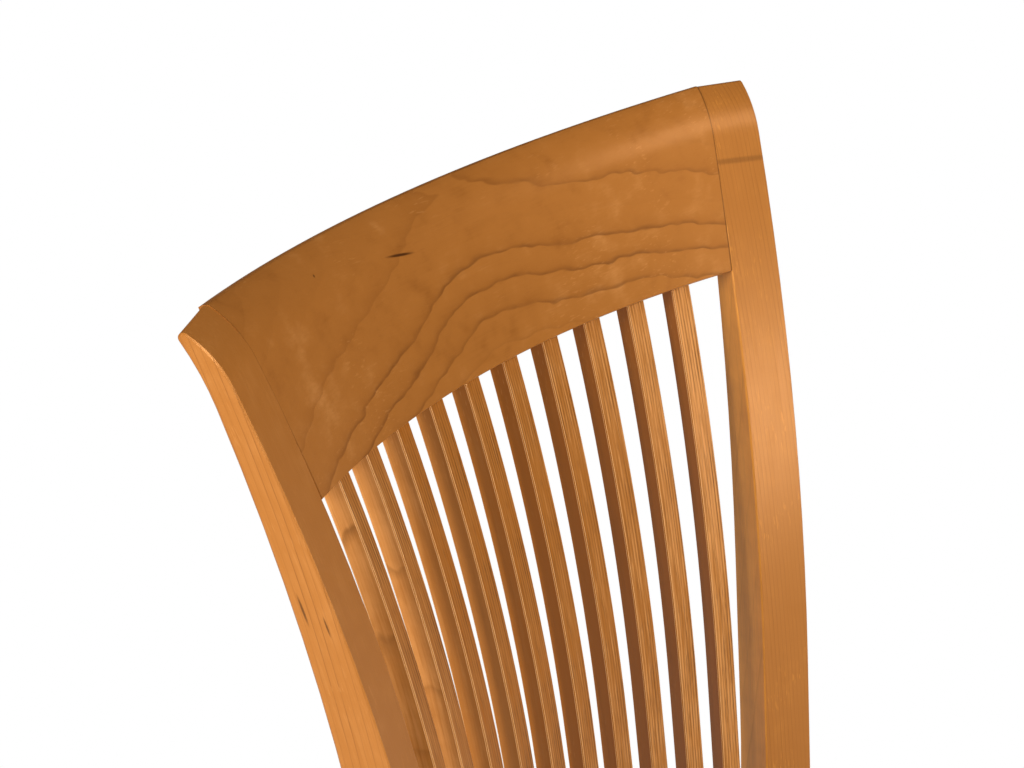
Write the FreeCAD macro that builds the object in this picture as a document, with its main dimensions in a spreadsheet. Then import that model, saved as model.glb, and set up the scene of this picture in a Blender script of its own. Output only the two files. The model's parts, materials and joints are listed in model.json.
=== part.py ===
import FreeCAD, Part
import Sketcher
import math
import os

from FreeCAD import Placement, Rotation, Vector

doc = FreeCAD.newDocument("SideChair")

# Driving dimensions in millimetres and degrees; X is to the right, Y to the back, Z up from the floor
DIMENSIONS = {
    # back posts: place of the inner front corner at the underside of the crest
    "crest_low_z": 915,
    "inner_half_width": 195,
    "back_datum_y": 201,
    "post_turn": 24.5,
    "post_lean": 1.2,
    "post_face_width": 35.6,
    "post_edge_bevel": 0.9,
    # front edge of a post, from the floor up
    "leg_rake": 9,
    "knee_radius": 500,
    "knee_low_z": 350,
    "knee_high_z": 440,
    "back_rake": 9.15,
    "bend_start_z": 654,
    "bend_radius": 1420,
    "roll_start_z": 993.7,
    "roll_radius": 60.5,
    "top_z": 1022,
    # rear edge of a post
    "post_depth_at_crest": 20.4,
    "rear_leg_rake": 4.4,
    "rear_hollow_radius": 900,
    "rear_hollow_top_z": 610,
    "rear_rake": 9.3,
    "rear_bend_start_z": 718,
    "rear_bend_radius": 1607,
    "flare_start_z": 980.6,
    "flare_radius": 167,
    "tip_front_drop": 0.6,
    "tip_rear_drop": 2.4,
    "tip_round": 3.1,
    # crest rail
    "crest_radius": 571,
    "crest_thickness": 25.4,
    "crest_low_dip": 3.4,
    "crest_top_dip": 9.2,
    "crest_edge_bevel": 1.2,
    "crest_low_drop": 1,
    "crest_top_drop": 0.9,
    "crest_tip_rise": 0.6,
    "crest_back_hollow": 1.4,
    "joint_lean": 1,
    # slats
    "slat_count": 10,
    "slat_half_span": 161.3,
    "slat_setback": 17.9,
    "slat_sagitta": 28.4,
    "slat_turn": 20.9,
    "slat_width": 13.8,
    "slat_depth": 13.6,
    "slat_rake": 9.2,
    "slat_bend_start_z": 657,
    "slat_bend_radius": 1348,
    "slat_entry": 10,
    "slat_edge_bevel": 0.7,
    # lower back rail
    "low_rail_top_z": 556,
    "low_rail_height": 42,
    "low_rail_thickness": 22,
    "low_rail_radius": 452,
    "low_rail_setback": 5,
    "low_rail_half_blank": 170,
    "low_rail_bevel": 1.2,
    # dowels: heights above the underside of the crest, and places in the lower rail
    "dowel_radius": 4,
    "dowel_half_length": 16.5,
    "dowel_play": 0.05,
    "crest_dowel_low": 24,
    "crest_dowel_high": 66,
    "low_dowel_depth": -74.5,
    "low_dowel_spread": 9,
    # seat frame
    "rail_top_z": 424,
    "rail_height": 62,
    "rail_thickness": 20,
    "rail_inset": 5,
    "rail_edge_bevel": 1.2,
    "tenon_thickness": 9,
    "tenon_height": 38,
    "tenon_length": 16,
    "tenon_root": 6,
    "side_rail_inset": 4,
    "leg_outer_x": 230,
    "leg_front_y": -289,
    "leg_top_size": 38,
    "leg_foot_size": 27,
    "leg_taper_start_z": 350,
    "leg_edge_bevel": 1.6,
    "rear_rail_y": 143,
    # corner blocks
    "block_low_z": 394,
    "block_high_z": 423.5,
    "front_block_near_x": 178,
    "front_block_far_x": 112,
    "front_block_near_y": -228,
    "front_block_far_y": -165,
    "rear_block_near_x": 131,
    "rear_block_far_x": 72,
    "rear_block_near_y": 90,
    "rear_block_far_y": 42,
    # glides
    "glide_height": 6,
    "glide_radius": 10,
    "glide_stem_radius": 2,
    "glide_stem_length": 16,
    # seat
    "seat_front_y": -295,
    "seat_front_half_width": 236,
    "seat_rear_half_width": 181,
    "seat_side_end_y": 98,
    "seat_tongue_half_width": 140,
    "seat_notch_y": 116,
    "seat_rear_y": 149,
    "seat_corner_round": 36,
    "seat_side_round": 26,
    "seat_crown_z": 481,
    "seat_crown_y": -80,
    "seat_crown_radius": 2600,
    "seat_side_z": 446,
    "seat_shoulder_z": 467,
    "seat_tuck": 5,
    "seat_shoulder_inset": 9,
    "cover_thickness": 1.6,
    "cover_return": 26,
    "board_thickness": 11,
    "dust_thickness": 1,
}

sheet = doc.addObject("Spreadsheet::Sheet", "Sizes")
for row, (alias, value) in enumerate(DIMENSIONS.items(), start=1):
    sheet.set("A%d" % row, alias)
    sheet.set("B%d" % row, str(value))
    sheet.setAlias("B%d" % row, alias)
doc.recompute()

# Cutting blocks reach this far past the pieces that they trim
REACH = 400


def size(alias):
    return float(sheet.get(alias))


def angle(alias):
    return math.radians(size(alias))


def bind(obj, **links):
    for prop, expression in links.items():
        obj.setExpression(prop.replace("__", "."), expression)


# Sketch helpers: an outline is a list of lines and arcs laid end to end
def sketch_on(body, role, name, offset=None):
    plane = [p for p in body.Origin.OriginFeatures if p.Role == role][0]
    sketch = body.newObject("Sketcher::SketchObject", name)
    sketch.AttachmentSupport = [(plane, "")]
    sketch.MapMode = "FlatFace"
    if offset is not None:
        sketch.AttachmentOffset = offset
    return sketch


def line(start, end):
    return Part.LineSegment(Vector(*start, 0), Vector(*end, 0))


def arc(start, middle, end):
    return Part.Arc(Vector(*start, 0), Vector(*middle, 0), Vector(*end, 0))


def polygon(points):
    return [line(points[i - 1], points[i]) for i in range(len(points))]


def draw(sketch, pieces):
    for piece in pieces:
        sketch.addGeometry(piece, False)
    ends = [(index, end, sketch.getPoint(index, end)) for index in range(len(pieces)) for end in (1, 2)]
    for here, (piece, end, point) in enumerate(ends):
        for other_piece, other_end, other_point in ends[here + 1:]:
            if piece != other_piece and point.distanceToPoint(other_point) < 1e-5:
                sketch.addConstraint(Sketcher.Constraint("Coincident", piece, end, other_piece, other_end))


def bind_radius(sketch, piece, alias):
    index = sketch.addConstraint(Sketcher.Constraint("Radius", piece, size(alias)))
    sketch.setExpression("Constraints[%d]" % index, "Sizes." + alias)


# Feature helpers: lengths and radii are given as expressions on the sheet
def new_body(label):
    return doc.addObject("PartDesign::Body", label)


def pad(body, sketch, length, midplane=False):
    feature = body.newObject("PartDesign::Pad", body.Name + "_pad")
    feature.Profile = sketch
    feature.Midplane = midplane
    bind(feature, Length=length)
    doc.recompute()
    return feature


def loft(body, sections, ruled):
    feature = body.newObject("PartDesign::AdditiveLoft", body.Name + "_loft")
    feature.Profile = sections[0]
    feature.Sections = sections[1:]
    feature.Ruled = ruled
    doc.recompute()
    return feature


def round_edges(body, base, chosen, radius):
    names = ["Edge%d" % number for number, edge in enumerate(base.Shape.Edges, start=1) if chosen(edge)]
    feature = body.newObject("PartDesign::Fillet", body.Name + "_round")
    feature.Base = (base, names)
    bind(feature, Radius=radius)
    doc.recompute()
    return feature


def bevel_edges(body, base, chosen, width):
    names = ["Edge%d" % number for number, edge in enumerate(base.Shape.Edges, start=1) if chosen(edge)]
    feature = body.newObject("PartDesign::Chamfer", body.Name + "_bevel")
    feature.Base = (base, names)
    bind(feature, Size=width)
    doc.recompute()
    return feature


def group(label, pieces):
    result = doc.addObject("Part::Compound", label)
    result.Links = pieces
    doc.recompute()
    return result


def fuse(label, pieces):
    result = doc.addObject("Part::MultiFuse", label)
    result.Shapes = pieces
    doc.recompute()
    return result


def cut(label, base, tools):
    result = doc.addObject("Part::Cut", label)
    result.Base = base
    result.Tool = tools[0] if len(tools) == 1 else fuse(label + "_tools", tools)
    doc.recompute()
    return result


def mirror(label, source):
    result = doc.addObject("Part::Mirroring", label)
    result.Source = source
    result.Normal = Vector(1, 0, 0)
    doc.recompute()
    return result


def mirrored(pieces):
    return [mirror(piece.Name + "_left", piece) for piece in pieces]


def block(label, low, high, place=Placement()):
    result = doc.addObject("Part::Box", label)
    result.Length, result.Width, result.Height = [b - a for a, b in zip(low, high)]
    result.Placement = place.multiply(Placement(Vector(*low), Rotation()))
    return result


def rod(label, radius, length, base, direction, place=Placement()):
    result = doc.addObject("Part::Cylinder", label)
    bind(result, Radius=radius, Height=length)
    heading = Rotation(Vector(0, 0, 1), Vector(*direction))
    result.Placement = place.multiply(Placement(Vector(*base), heading))
    return result


# A bent edge: heights are measured from the underside of the crest, depth grows to the back
def arc_rise(z, z_start, rake_start, radius):
    sine = math.sin(rake_start) + (z - z_start) / radius
    return radius * (math.cos(rake_start) - math.sqrt(1 - sine * sine)), math.asin(sine)


def bent_arc(z_low, depth_low, rake_low, z_high, radius):
    z_middle = (z_low + z_high) / 2
    middle = (depth_low + arc_rise(z_middle, z_low, rake_low, radius)[0], z_middle)
    end = (depth_low + arc_rise(z_high, z_low, rake_low, radius)[0], z_high)
    return middle, end


crest_z = size("crest_low_z")
floor_z = size("glide_height") - crest_z
foot_allowance = 4
blank_foot_z = floor_z - foot_allowance

# Front edge of the post above the seat: straight, bend, and the height where the roll starts
back_rake = angle("back_rake")
bend_z = size("bend_start_z") - crest_z
bend_radius = size("bend_radius")
bend_depth = -arc_rise(0, bend_z, back_rake, bend_radius)[0]
roll_z = size("roll_start_z") - crest_z


def front_depth(z):
    return bend_depth + arc_rise(z, bend_z, back_rake, bend_radius)[0]


roll_depth = front_depth(roll_z)
roll_rake = arc_rise(roll_z, bend_z, back_rake, bend_radius)[1]
bend_start = (bend_depth, bend_z)
bend_mid, bend_end = bent_arc(bend_z, bend_depth, back_rake, roll_z, bend_radius)

# Front edge below: the leg, and a knee with a flat for the seat rail
knee_radius = size("knee_radius")
knee_low_z = size("knee_low_z") - crest_z
knee_high_z = size("knee_high_z") - crest_z
leg_rake = angle("leg_rake")
knee_top_z = knee_high_z + knee_radius * math.sin(back_rake)
knee_top_depth = bend_depth - (bend_z - knee_top_z) * math.tan(back_rake)
flat_depth = knee_top_depth - knee_radius * (1 - math.cos(back_rake))
knee_foot_z = knee_low_z - knee_radius * math.sin(leg_rake)
knee_foot_depth = flat_depth + knee_radius * (1 - math.cos(leg_rake))
foot_depth = knee_foot_depth + (knee_foot_z - blank_foot_z) * math.tan(leg_rake)
knee_high_mid = bent_arc(knee_high_z, flat_depth, 0, knee_top_z, knee_radius)[0]
knee_low_mid = bent_arc(knee_foot_z, knee_foot_depth, -leg_rake, knee_low_z, knee_radius)[0]

# Rear edge of the post: leg, hollow, straight, bend, flare
rear_rake = angle("rear_rake")
rear_bend_z = size("rear_bend_start_z") - crest_z
rear_bend_radius = size("rear_bend_radius")
rear_bend_depth = size("post_depth_at_crest") - arc_rise(0, rear_bend_z, rear_rake, rear_bend_radius)[0]


def rear_depth(z):
    return rear_bend_depth + arc_rise(z, rear_bend_z, rear_rake, rear_bend_radius)[0]


hollow_radius = size("rear_hollow_radius")
rear_leg_rake = angle("rear_leg_rake")
hollow_top_z = size("rear_hollow_top_z") - crest_z
hollow_top_depth = rear_bend_depth - (rear_bend_z - hollow_top_z) * math.tan(rear_rake)
hollow_foot_z = hollow_top_z - hollow_radius * (math.sin(rear_rake) + math.sin(rear_leg_rake))
hollow_foot_depth = hollow_top_depth - hollow_radius * (math.cos(rear_leg_rake) - math.cos(rear_rake))
rear_foot_depth = hollow_foot_depth + (hollow_foot_z - blank_foot_z) * math.tan(rear_leg_rake)
hollow_mid = bent_arc(hollow_foot_z, hollow_foot_depth, -rear_leg_rake, hollow_top_z, hollow_radius)[0]
flare_z = size("flare_start_z") - crest_z
flare_rake = arc_rise(flare_z, rear_bend_z, rear_rake, rear_bend_radius)[1]
rear_mid, flare_start = bent_arc(rear_bend_z, rear_bend_depth, rear_rake, flare_z, rear_bend_radius)


# Rolled top: the front curls back and the rear flares to meet it in a blunt tip
def rolled_top(drop):
    roll_end_z = size("top_z") - crest_z - size("tip_front_drop") - drop
    rear_end_z = size("top_z") - crest_z - size("tip_rear_drop") - drop
    roll = bent_arc(roll_z, roll_depth, roll_rake, roll_end_z, size("roll_radius"))
    flare = bent_arc(flare_z, flare_start[0], flare_rake, rear_end_z, size("flare_radius"))
    return roll + flare


roll_mid, roll_end, flare_mid, flare_end = rolled_top(0)

# Back post: one sawn plank, turned about the upright and leaned outwards
post = new_body("post_blank")
post_sketch = sketch_on(post, "YZ_Plane", "post_profile")
draw(post_sketch, [
    arc(bend_start, bend_mid, bend_end),
    arc(bend_end, roll_mid, roll_end),
    line(roll_end, flare_end),
    arc(flare_end, flare_mid, flare_start),
    arc(flare_start, rear_mid, (rear_bend_depth, rear_bend_z)),
    line((rear_bend_depth, rear_bend_z), (hollow_top_depth, hollow_top_z)),
    arc((hollow_top_depth, hollow_top_z), hollow_mid, (hollow_foot_depth, hollow_foot_z)),
    line((hollow_foot_depth, hollow_foot_z), (rear_foot_depth, blank_foot_z)),
    line((rear_foot_depth, blank_foot_z), (foot_depth, blank_foot_z)),
    line((foot_depth, blank_foot_z), (knee_foot_depth, knee_foot_z)),
    arc((knee_foot_depth, knee_foot_z), knee_low_mid, (flat_depth, knee_low_z)),
    line((flat_depth, knee_low_z), (flat_depth, knee_high_z)),
    arc((flat_depth, knee_high_z), knee_high_mid, (knee_top_depth, knee_top_z)),
    line((knee_top_depth, knee_top_z), bend_start),
])
for piece, alias in ((0, "bend_radius"), (1, "roll_radius"), (4, "rear_bend_radius")):
    bind_radius(post_sketch, piece, alias)
post_pad = pad(post, post_sketch, "Sizes.post_face_width")


def across_tip(edge):
    xs = [v.Point.x for v in edge.Vertexes]
    return max(xs) - min(xs) > 1 and edge.Vertexes[0].Point.z > roll_z + 1


def on_post_side(edge):
    xs = [v.Point.x for v in edge.Vertexes]
    return max(xs) - min(xs) < 1e-6 and max(v.Point.z for v in edge.Vertexes) > floor_z


post_tip = round_edges(post, post_pad, across_tip, "Sizes.tip_round")
bevel_edges(post, post_tip, on_post_side, "Sizes.post_edge_bevel")
lean = Rotation(Vector(0, 1, 0), size("post_lean"))
turn = Rotation(Vector(0, 0, 1), -size("post_turn"))
post.Placement = Placement(Vector(0, 0, 0), turn.multiply(lean))
bind(post, Placement__Base__x="Sizes.inner_half_width", Placement__Base__y="Sizes.back_datum_y")
bind(post, Placement__Base__z="Sizes.crest_low_z")
doc.recompute()
post_place = post.Placement

# Blocks that trim the pieces meeting a post: on its inner side, its front flat and the leaning joint
beyond_right = block("beyond_right_post", (0, -REACH, -crest_z), (REACH, REACH, REACH), post_place)
beyond_left = mirror("beyond_left_post", beyond_right)
behind_flat = block("behind_post_flat", (-REACH, flat_depth, -crest_z), (REACH, REACH, 0), post_place)
joint_lean = Placement(Vector(0, 0, 0), Rotation(Vector(0, 1, 0), size("joint_lean")))
joint_place = post_place.multiply(joint_lean)
past_right_joint = block("past_right_joint", (0, -REACH, -REACH), (REACH, REACH, REACH), joint_place)
past_left_joint = mirror("past_left_joint", past_right_joint)
inside_joint = block("inside_joint", (-REACH, -REACH, 0), (0, REACH, REACH), joint_place)
under_foot = block("under_foot", (-REACH, -REACH, -REACH), (REACH, REACH, size("glide_height")))
doc.recompute()

# Crest rail: upright sections set round an arc, lower towards the middle, ends trimmed to the posts
crest_radius = size("crest_radius")
crest_half_angle = math.asin(size("inner_half_width") / crest_radius)
crest_centre_y = size("back_datum_y") - crest_radius * math.cos(crest_half_angle)
crest_height = size("top_z") - crest_z
crest_back = size("crest_thickness")
low_drop = size("crest_low_drop")
bevel = size("crest_edge_bevel")
bevel_top = bevel - low_drop
crest_roll_mid, crest_roll_end, _, crest_rear_end = rolled_top(size("crest_top_drop"))
crest_tip = (
    (crest_roll_end[0] + crest_rear_end[0]) / 2,
    (crest_roll_end[1] + crest_rear_end[1]) / 2 + size("crest_tip_rise"))
crest_rear_mid = (
    (crest_back + crest_rear_end[0]) / 2 - size("crest_back_hollow"), crest_rear_end[1] / 2)
# the end sections stand past the posts, to leave wood for the trim
crest_overshoot = 1.14
crest_section_count = 5
crest = new_body("crest_blank")
crest_sections = []
for index in range(crest_section_count):
    share = crest_overshoot * (2 * index / (crest_section_count - 1) - 1)
    low_dip = size("crest_low_dip") * (1 - share * share)
    top_dip = size("crest_top_dip") * (1 - share * share)

    def at(depth, height):
        dip = low_dip + (top_dip - low_dip) * height / crest_height
        return (crest_radius + depth, crest_z + height - dip)

    turn = Rotation(Vector(0, 1, 0), 90 - math.degrees(crest_half_angle * share))
    centre = Placement(Vector(0, 0, -crest_centre_y), turn)
    section = sketch_on(crest, "XZ_Plane", "crest_section_%d" % (index + 1), centre)
    low_front = at(bevel, -low_drop)
    front_low = at(front_depth(bevel_top), bevel_top)
    roll_start = at(roll_depth, roll_z)
    roll_top = at(*crest_roll_end)
    rear_top = at(*crest_rear_end)
    rear_low = at(crest_back, bevel_top)
    low_rear = at(crest_back - bevel, -low_drop)
    draw(section, [
        line(low_front, front_low),
        arc(front_low, at(front_depth(roll_z / 2), roll_z / 2), roll_start),
        arc(roll_start, at(*crest_roll_mid), roll_top),
        arc(roll_top, at(*crest_tip), rear_top),
        arc(rear_top, at(*crest_rear_mid), rear_low),
        line(rear_low, low_rear),
        line(low_rear, low_front),
    ])
    crest_sections.append(section)
doc.recompute()
loft(crest, crest_sections, ruled=False)

# Slats: one curved profile, repeated round the back, each turned to face the middle
slat_count = int(size("slat_count"))
slat_rake = angle("slat_rake")
slat_bend_z = size("slat_bend_start_z") - crest_z
slat_bend_radius = size("slat_bend_radius")
slat_top_z = size("slat_entry")
slat_foot_z = size("low_rail_top_z") - crest_z - size("slat_entry")
slat_bend_depth = -arc_rise(0, slat_bend_z, slat_rake, slat_bend_radius)[0]


def straight_slat_depth(z):
    return slat_bend_depth - (slat_bend_z - z) * math.tan(slat_rake)


slat_foot = (straight_slat_depth(slat_foot_z), slat_foot_z)
slat_bend = (slat_bend_depth, slat_bend_z)
slat_mid, slat_end = bent_arc(slat_bend_z, slat_bend_depth, slat_rake, slat_top_z, slat_bend_radius)


def back_of(point):
    return (point[0] + size("slat_depth"), point[1])


def along_slat(edge):
    return edge.Length > 50


slats = []
for index in range(slat_count):
    share = 1 - 2 * index / (slat_count - 1)
    slat = new_body("back_slat_%02d" % (index + 1))
    slat_sketch = sketch_on(slat, "YZ_Plane", "slat_profile_%02d" % (index + 1))
    draw(slat_sketch, [
        line(slat_foot, slat_bend),
        arc(slat_bend, slat_mid, slat_end),
        line(slat_end, back_of(slat_end)),
        arc(back_of(slat_end), back_of(slat_mid), back_of(slat_bend)),
        line(back_of(slat_bend), back_of(slat_foot)),
        line(back_of(slat_foot), slat_foot),
    ])
    bind_radius(slat_sketch, 1, "slat_bend_radius")
    slat_pad = pad(slat, slat_sketch, "Sizes.slat_width", midplane=True)
    bevel_edges(slat, slat_pad, along_slat, "Sizes.slat_edge_bevel")
    facing = Rotation(Vector(0, 0, 1), -size("slat_turn") * share)
    slat.Placement = Placement(Vector(0, 0, 0), facing)
    here, last = "%r * Sizes.slat_turn * 1 deg" % share, "Sizes.slat_turn * 1 deg"
    bow = "Sizes.slat_sagitta * (cos(%s) - cos(%s)) / (1 - cos(%s))" % (here, last, last)
    bind(slat, Placement__Base__x="Sizes.slat_half_span * sin(%s) / sin(%s)" % (here, last))
    bind(slat, Placement__Base__y="Sizes.back_datum_y + Sizes.slat_setback + " + bow)
    bind(slat, Placement__Base__z="Sizes.crest_low_z")
    slats.append(slat)
doc.recompute()

# Lower back rail: a curved strip leaning with the slats
low_radius = size("low_rail_radius")
low_half_turn = math.asin(size("low_rail_half_blank") / low_radius)


def plan_arc(radius):
    x, y = radius * math.sin(low_half_turn), radius * math.cos(low_half_turn)
    return (-x, y), (0, radius), (x, y)


def long_curve(edge):
    return edge.Length > 200


low_rail = new_body("lower_rail_blank")
low_sketch = sketch_on(low_rail, "XY_Plane", "lower_rail_plan")
inner_left, inner_middle, inner_right = plan_arc(low_radius)
outer_left, outer_middle, outer_right = plan_arc(low_radius + size("low_rail_thickness"))
draw(low_sketch, [
    arc(inner_left, inner_middle, inner_right),
    line(inner_right, outer_right),
    arc(outer_right, outer_middle, outer_left),
    line(outer_left, inner_left),
])
bind_radius(low_sketch, 0, "low_rail_radius")
low_pad = pad(low_rail, low_sketch, "Sizes.low_rail_height")
bevel_edges(low_rail, low_pad, long_curve, "Sizes.low_rail_bevel")
slat_at_rail = straight_slat_depth(size("low_rail_top_z") - crest_z)
middle_slat_y = size("back_datum_y") + size("slat_setback") + size("slat_sagitta") + slat_at_rail
low_rail_top_y = middle_slat_y - size("low_rail_setback")
low_rail_y = low_rail_top_y - size("low_rail_height") * math.sin(slat_rake)
low_rail_z = size("low_rail_top_z") - size("low_rail_height") * math.cos(slat_rake)
low_rail_tilt = Rotation(Vector(1, 0, 0), -math.degrees(slat_rake))
front_middle = low_rail_tilt.multVec(Vector(0, low_radius, 0))
low_rail.Placement = Placement(Vector(0, low_rail_y, low_rail_z) - front_middle, low_rail_tilt)
doc.recompute()

# Dowels between the posts and the two rails of the back
crest_seats = []
for height in (size("crest_dowel_low"), size("crest_dowel_high")):
    crest_seats.append(((front_depth(height) + rear_depth(height)) / 2, height))
low_seats = []
low_rail_middle = size("low_rail_top_z") - size("low_rail_height") / 2 - crest_z
for step in (-size("low_dowel_spread"), size("low_dowel_spread")):
    low_seats.append((size("low_dowel_depth") + step * math.tan(slat_rake), low_rail_middle + step))


def dowels_at(label, seats):
    pins, bores = [], []
    for number, (depth, height) in enumerate(seats, start=1):
        name = "%s_%d" % (label, number)
        start = (-size("dowel_half_length"), depth, height)
        deeper = (start[0] - 1, depth, height)
        pin = ("Sizes.dowel_radius", "2 * Sizes.dowel_half_length", start)
        bore = ("Sizes.dowel_radius + Sizes.dowel_play", "2 * Sizes.dowel_half_length + 2", deeper)
        pins.append(rod(name, *pin, (1, 0, 0), post_place))
        bores.append(rod(name + "_bore", *bore, (1, 0, 0), post_place))
    return group(label, pins + mirrored(pins)), bores


crest_dowels, crest_bores = dowels_at("crest_dowels", crest_seats)
lower_rail_dowels, low_bores = dowels_at("lower_rail_dowels", low_seats)

# Seat frame: rails between the legs, each with a tenon in the next piece
rail_top = size("rail_top_z")
rail_low = rail_top - size("rail_height")
rail_thick = size("rail_thickness")
tenon_low = rail_low + (size("rail_height") - size("tenon_height")) / 2
leg_size = size("leg_top_size")
leg_in_x = size("leg_outer_x") - leg_size
leg_rear_y = size("leg_front_y") + leg_size
rear_y = size("rear_rail_y")


def tenon(label, x, y, z, along_x, place=Placement()):
    # x, y is the middle of the shoulder; the tenon points along +X, or +Y where along_x is false
    result = doc.addObject("Part::Box", label)
    length = "Sizes.tenon_length + Sizes.tenon_root"
    thickness = "Sizes.tenon_thickness"
    half = size("tenon_thickness") / 2
    if along_x:
        bind(result, Length=length, Width=thickness, Height="Sizes.tenon_height")
        corner = Vector(x - size("tenon_root"), y - half, z)
    else:
        bind(result, Length=thickness, Width=length, Height="Sizes.tenon_height")
        corner = Vector(x - half, y - size("tenon_root"), z)
    result.Placement = place.multiply(Placement(corner, Rotation()))
    return result


def long_edge(edge):
    return edge.Length > 120


def rail_blank(label, start, end):
    body = new_body(label)
    sketch = sketch_on(body, "XY_Plane", label + "_plan")
    run = Vector(*end, 0) - Vector(*start, 0)
    half = rail_thick / 2
    draw(sketch, polygon([(0, -half), (run.Length, -half), (run.Length, half), (0, half)]))
    solid = pad(body, sketch, "Sizes.rail_height")
    bevel_edges(body, solid, long_edge, "Sizes.rail_edge_bevel")
    heading = math.degrees(math.atan2(run.y, run.x))
    body.Placement = Placement(Vector(*start, 0), Rotation(Vector(0, 0, 1), heading))
    bind(body, Placement__Base__z="Sizes.rail_top_z - Sizes.rail_height")
    doc.recompute()
    return body


front_rail_y = size("leg_front_y") + size("rail_inset") + rail_thick / 2
front_tenon = tenon("front_tenon", leg_in_x, front_rail_y, tenon_low, along_x=True)
front_blank = rail_blank("front_rail_blank", (-leg_in_x, front_rail_y), (leg_in_x, front_rail_y))
front_rail = fuse("front_seat_rail", [front_blank, front_tenon] + mirrored([front_tenon]))

flat_y = post_place.multVec(Vector(0, flat_depth, rail_low - crest_z)).y
rear_tenon_depth = flat_depth + (rear_y - flat_y) / math.cos(angle("post_turn"))
rear_tenon = tenon("rear_tenon", 0, rear_tenon_depth, tenon_low - crest_z, along_x=True, place=post_place)
rear_blank = rail_blank("rear_rail_blank", (-leg_in_x, rear_y), (leg_in_x, rear_y))
rear_trimmed = cut("rear_rail_trimmed", rear_blank, [beyond_right, beyond_left])
rear_rail = fuse("rear_seat_rail", [rear_trimmed, rear_tenon] + mirrored([rear_tenon]))

post_middle = size("post_face_width") / 2
side_front_x = size("leg_outer_x") - leg_size / 2 - size("side_rail_inset")
side_tenon_low = tenon_low - crest_z
post_tenon = tenon("post_tenon", post_middle, flat_depth, side_tenon_low, along_x=False, place=post_place)
leg_tenon = tenon("leg_tenon", side_front_x, leg_rear_y, tenon_low, along_x=False)
leg_tenon.Placement.Base.y -= size("tenon_length") - size("tenon_root")
side_front = Vector(side_front_x, leg_rear_y, 0)
side_rear = post_place.multVec(Vector(post_middle, flat_depth, rail_low - crest_z))
side_rear.z = 0
side_run = (side_rear - side_front).normalize()
side_spare = side_run * leg_size
side_start, side_end = side_front - side_spare, side_rear + side_spare
side_blank = rail_blank("side_rail_blank", (side_start.x, side_start.y), (side_end.x, side_end.y))
before_leg = block("before_leg", (-REACH, leg_rear_y - REACH, 0), (REACH, leg_rear_y, crest_z))
side_trimmed = cut("side_rail_trimmed", side_blank, [behind_flat, before_leg])
right_rail = fuse("right_seat_rail", [side_trimmed, post_tenon, leg_tenon])
left_rail = mirror("left_seat_rail", right_rail)

# Front leg: square at the rails, tapering on its two inner faces to the foot
leg = new_body("front_leg_blank")
leg_sections = []
for number, (level, width) in enumerate((
        ("rail_top_z", leg_size),
        ("leg_taper_start_z", leg_size),
        ("glide_height", size("leg_foot_size"))), start=1):
    section = sketch_on(leg, "XY_Plane", "leg_section_%d" % number)
    bind(section, AttachmentOffset__Base__z="Sizes." + level)
    outer, front = size("leg_outer_x"), size("leg_front_y")
    draw(section, polygon([
        (outer - width, front), (outer, front), (outer, front + width), (outer - width, front + width)]))
    leg_sections.append(section)
doc.recompute()
leg_loft = loft(leg, leg_sections, ruled=True)


def upright(edge):
    zs = [v.Point.z for v in edge.Vertexes]
    return max(zs) - min(zs) > 20


bevel_edges(leg, leg_loft, upright, "Sizes.leg_edge_bevel")

# Glides: a disc with a stem in the end grain of each leg
foot_middle = size("leg_foot_size") / 2
front_foot = (size("leg_outer_x") - foot_middle, size("leg_front_y") + foot_middle)
rear_foot = post_place.multVec(Vector(post_middle, (foot_depth + rear_foot_depth) / 2, floor_z))
glides = []
stem_holes = []
for name, (x, y) in (("front", front_foot), ("rear", (rear_foot.x, rear_foot.y))):
    disc = rod("glide_disc_" + name, "Sizes.glide_radius", "Sizes.glide_height", (x, y, 0), (0, 0, 1))
    base = (x, y, size("glide_height"))
    stem = ("Sizes.glide_stem_radius", "Sizes.glide_stem_length", base, (0, 0, 1))
    hole = ("Sizes.glide_stem_radius + Sizes.dowel_play", "Sizes.glide_stem_length + 1", base, (0, 0, 1))
    glides.append(fuse("glide_" + name, [disc, rod("glide_stem_" + name, *stem)]))
    stem_holes.append(rod("glide_hole_" + name, *hole))
foot_glides = group("foot_glides", glides + mirrored(glides))

# Legs, posts and the rails of the back, with their mortises and bores
right_leg = cut("right_front_leg", leg, [front_tenon, leg_tenon, stem_holes[0]])
left_leg = mirror("left_front_leg", right_leg)
post_tools = [rear_tenon, post_tenon, stem_holes[1], under_foot, inside_joint]
right_post = cut("right_back_post", post, crest_bores + low_bores + post_tools)
left_post = mirror("left_back_post", right_post)
crest_ends = [past_right_joint, past_left_joint]
crest_rail = cut("crest_rail", crest, crest_ends + slats + crest_bores + mirrored(crest_bores))
low_ends = [beyond_right, beyond_left]
lower_rail = cut("lower_back_rail", low_rail, low_ends + slats + low_bores + mirrored(low_bores))

# Corner blocks: braces glued across the corners of the seat frame
front_face_y = front_rail_y + rail_thick / 2
rear_face_y = rear_y - rail_thick / 2


def side_face(y):
    middle = side_front + side_run * ((y - leg_rear_y) / side_run.y)
    return (middle.x - rail_thick / 2 / side_run.y, y)


def corner_blocks(corner, rail_y):
    near_x, far_x = size(corner + "_block_near_x"), size(corner + "_block_far_x")
    near, far = side_face(size(corner + "_block_near_y")), side_face(size(corner + "_block_far_y"))
    right = new_body(corner + "_right_corner_block")
    sketch = sketch_on(right, "XY_Plane", corner + "_block_plan")
    draw(sketch, polygon([(near_x, rail_y), (far_x, rail_y), far, near]))
    pad(right, sketch, "Sizes.block_high_z - Sizes.block_low_z")
    bind(right, Placement__Base__z="Sizes.block_low_z")
    return [right, mirror(corner + "_left_corner_block", right)]


front_blocks = corner_blocks("front", front_face_y)
rear_blocks = corner_blocks("rear", rear_face_y)

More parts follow.
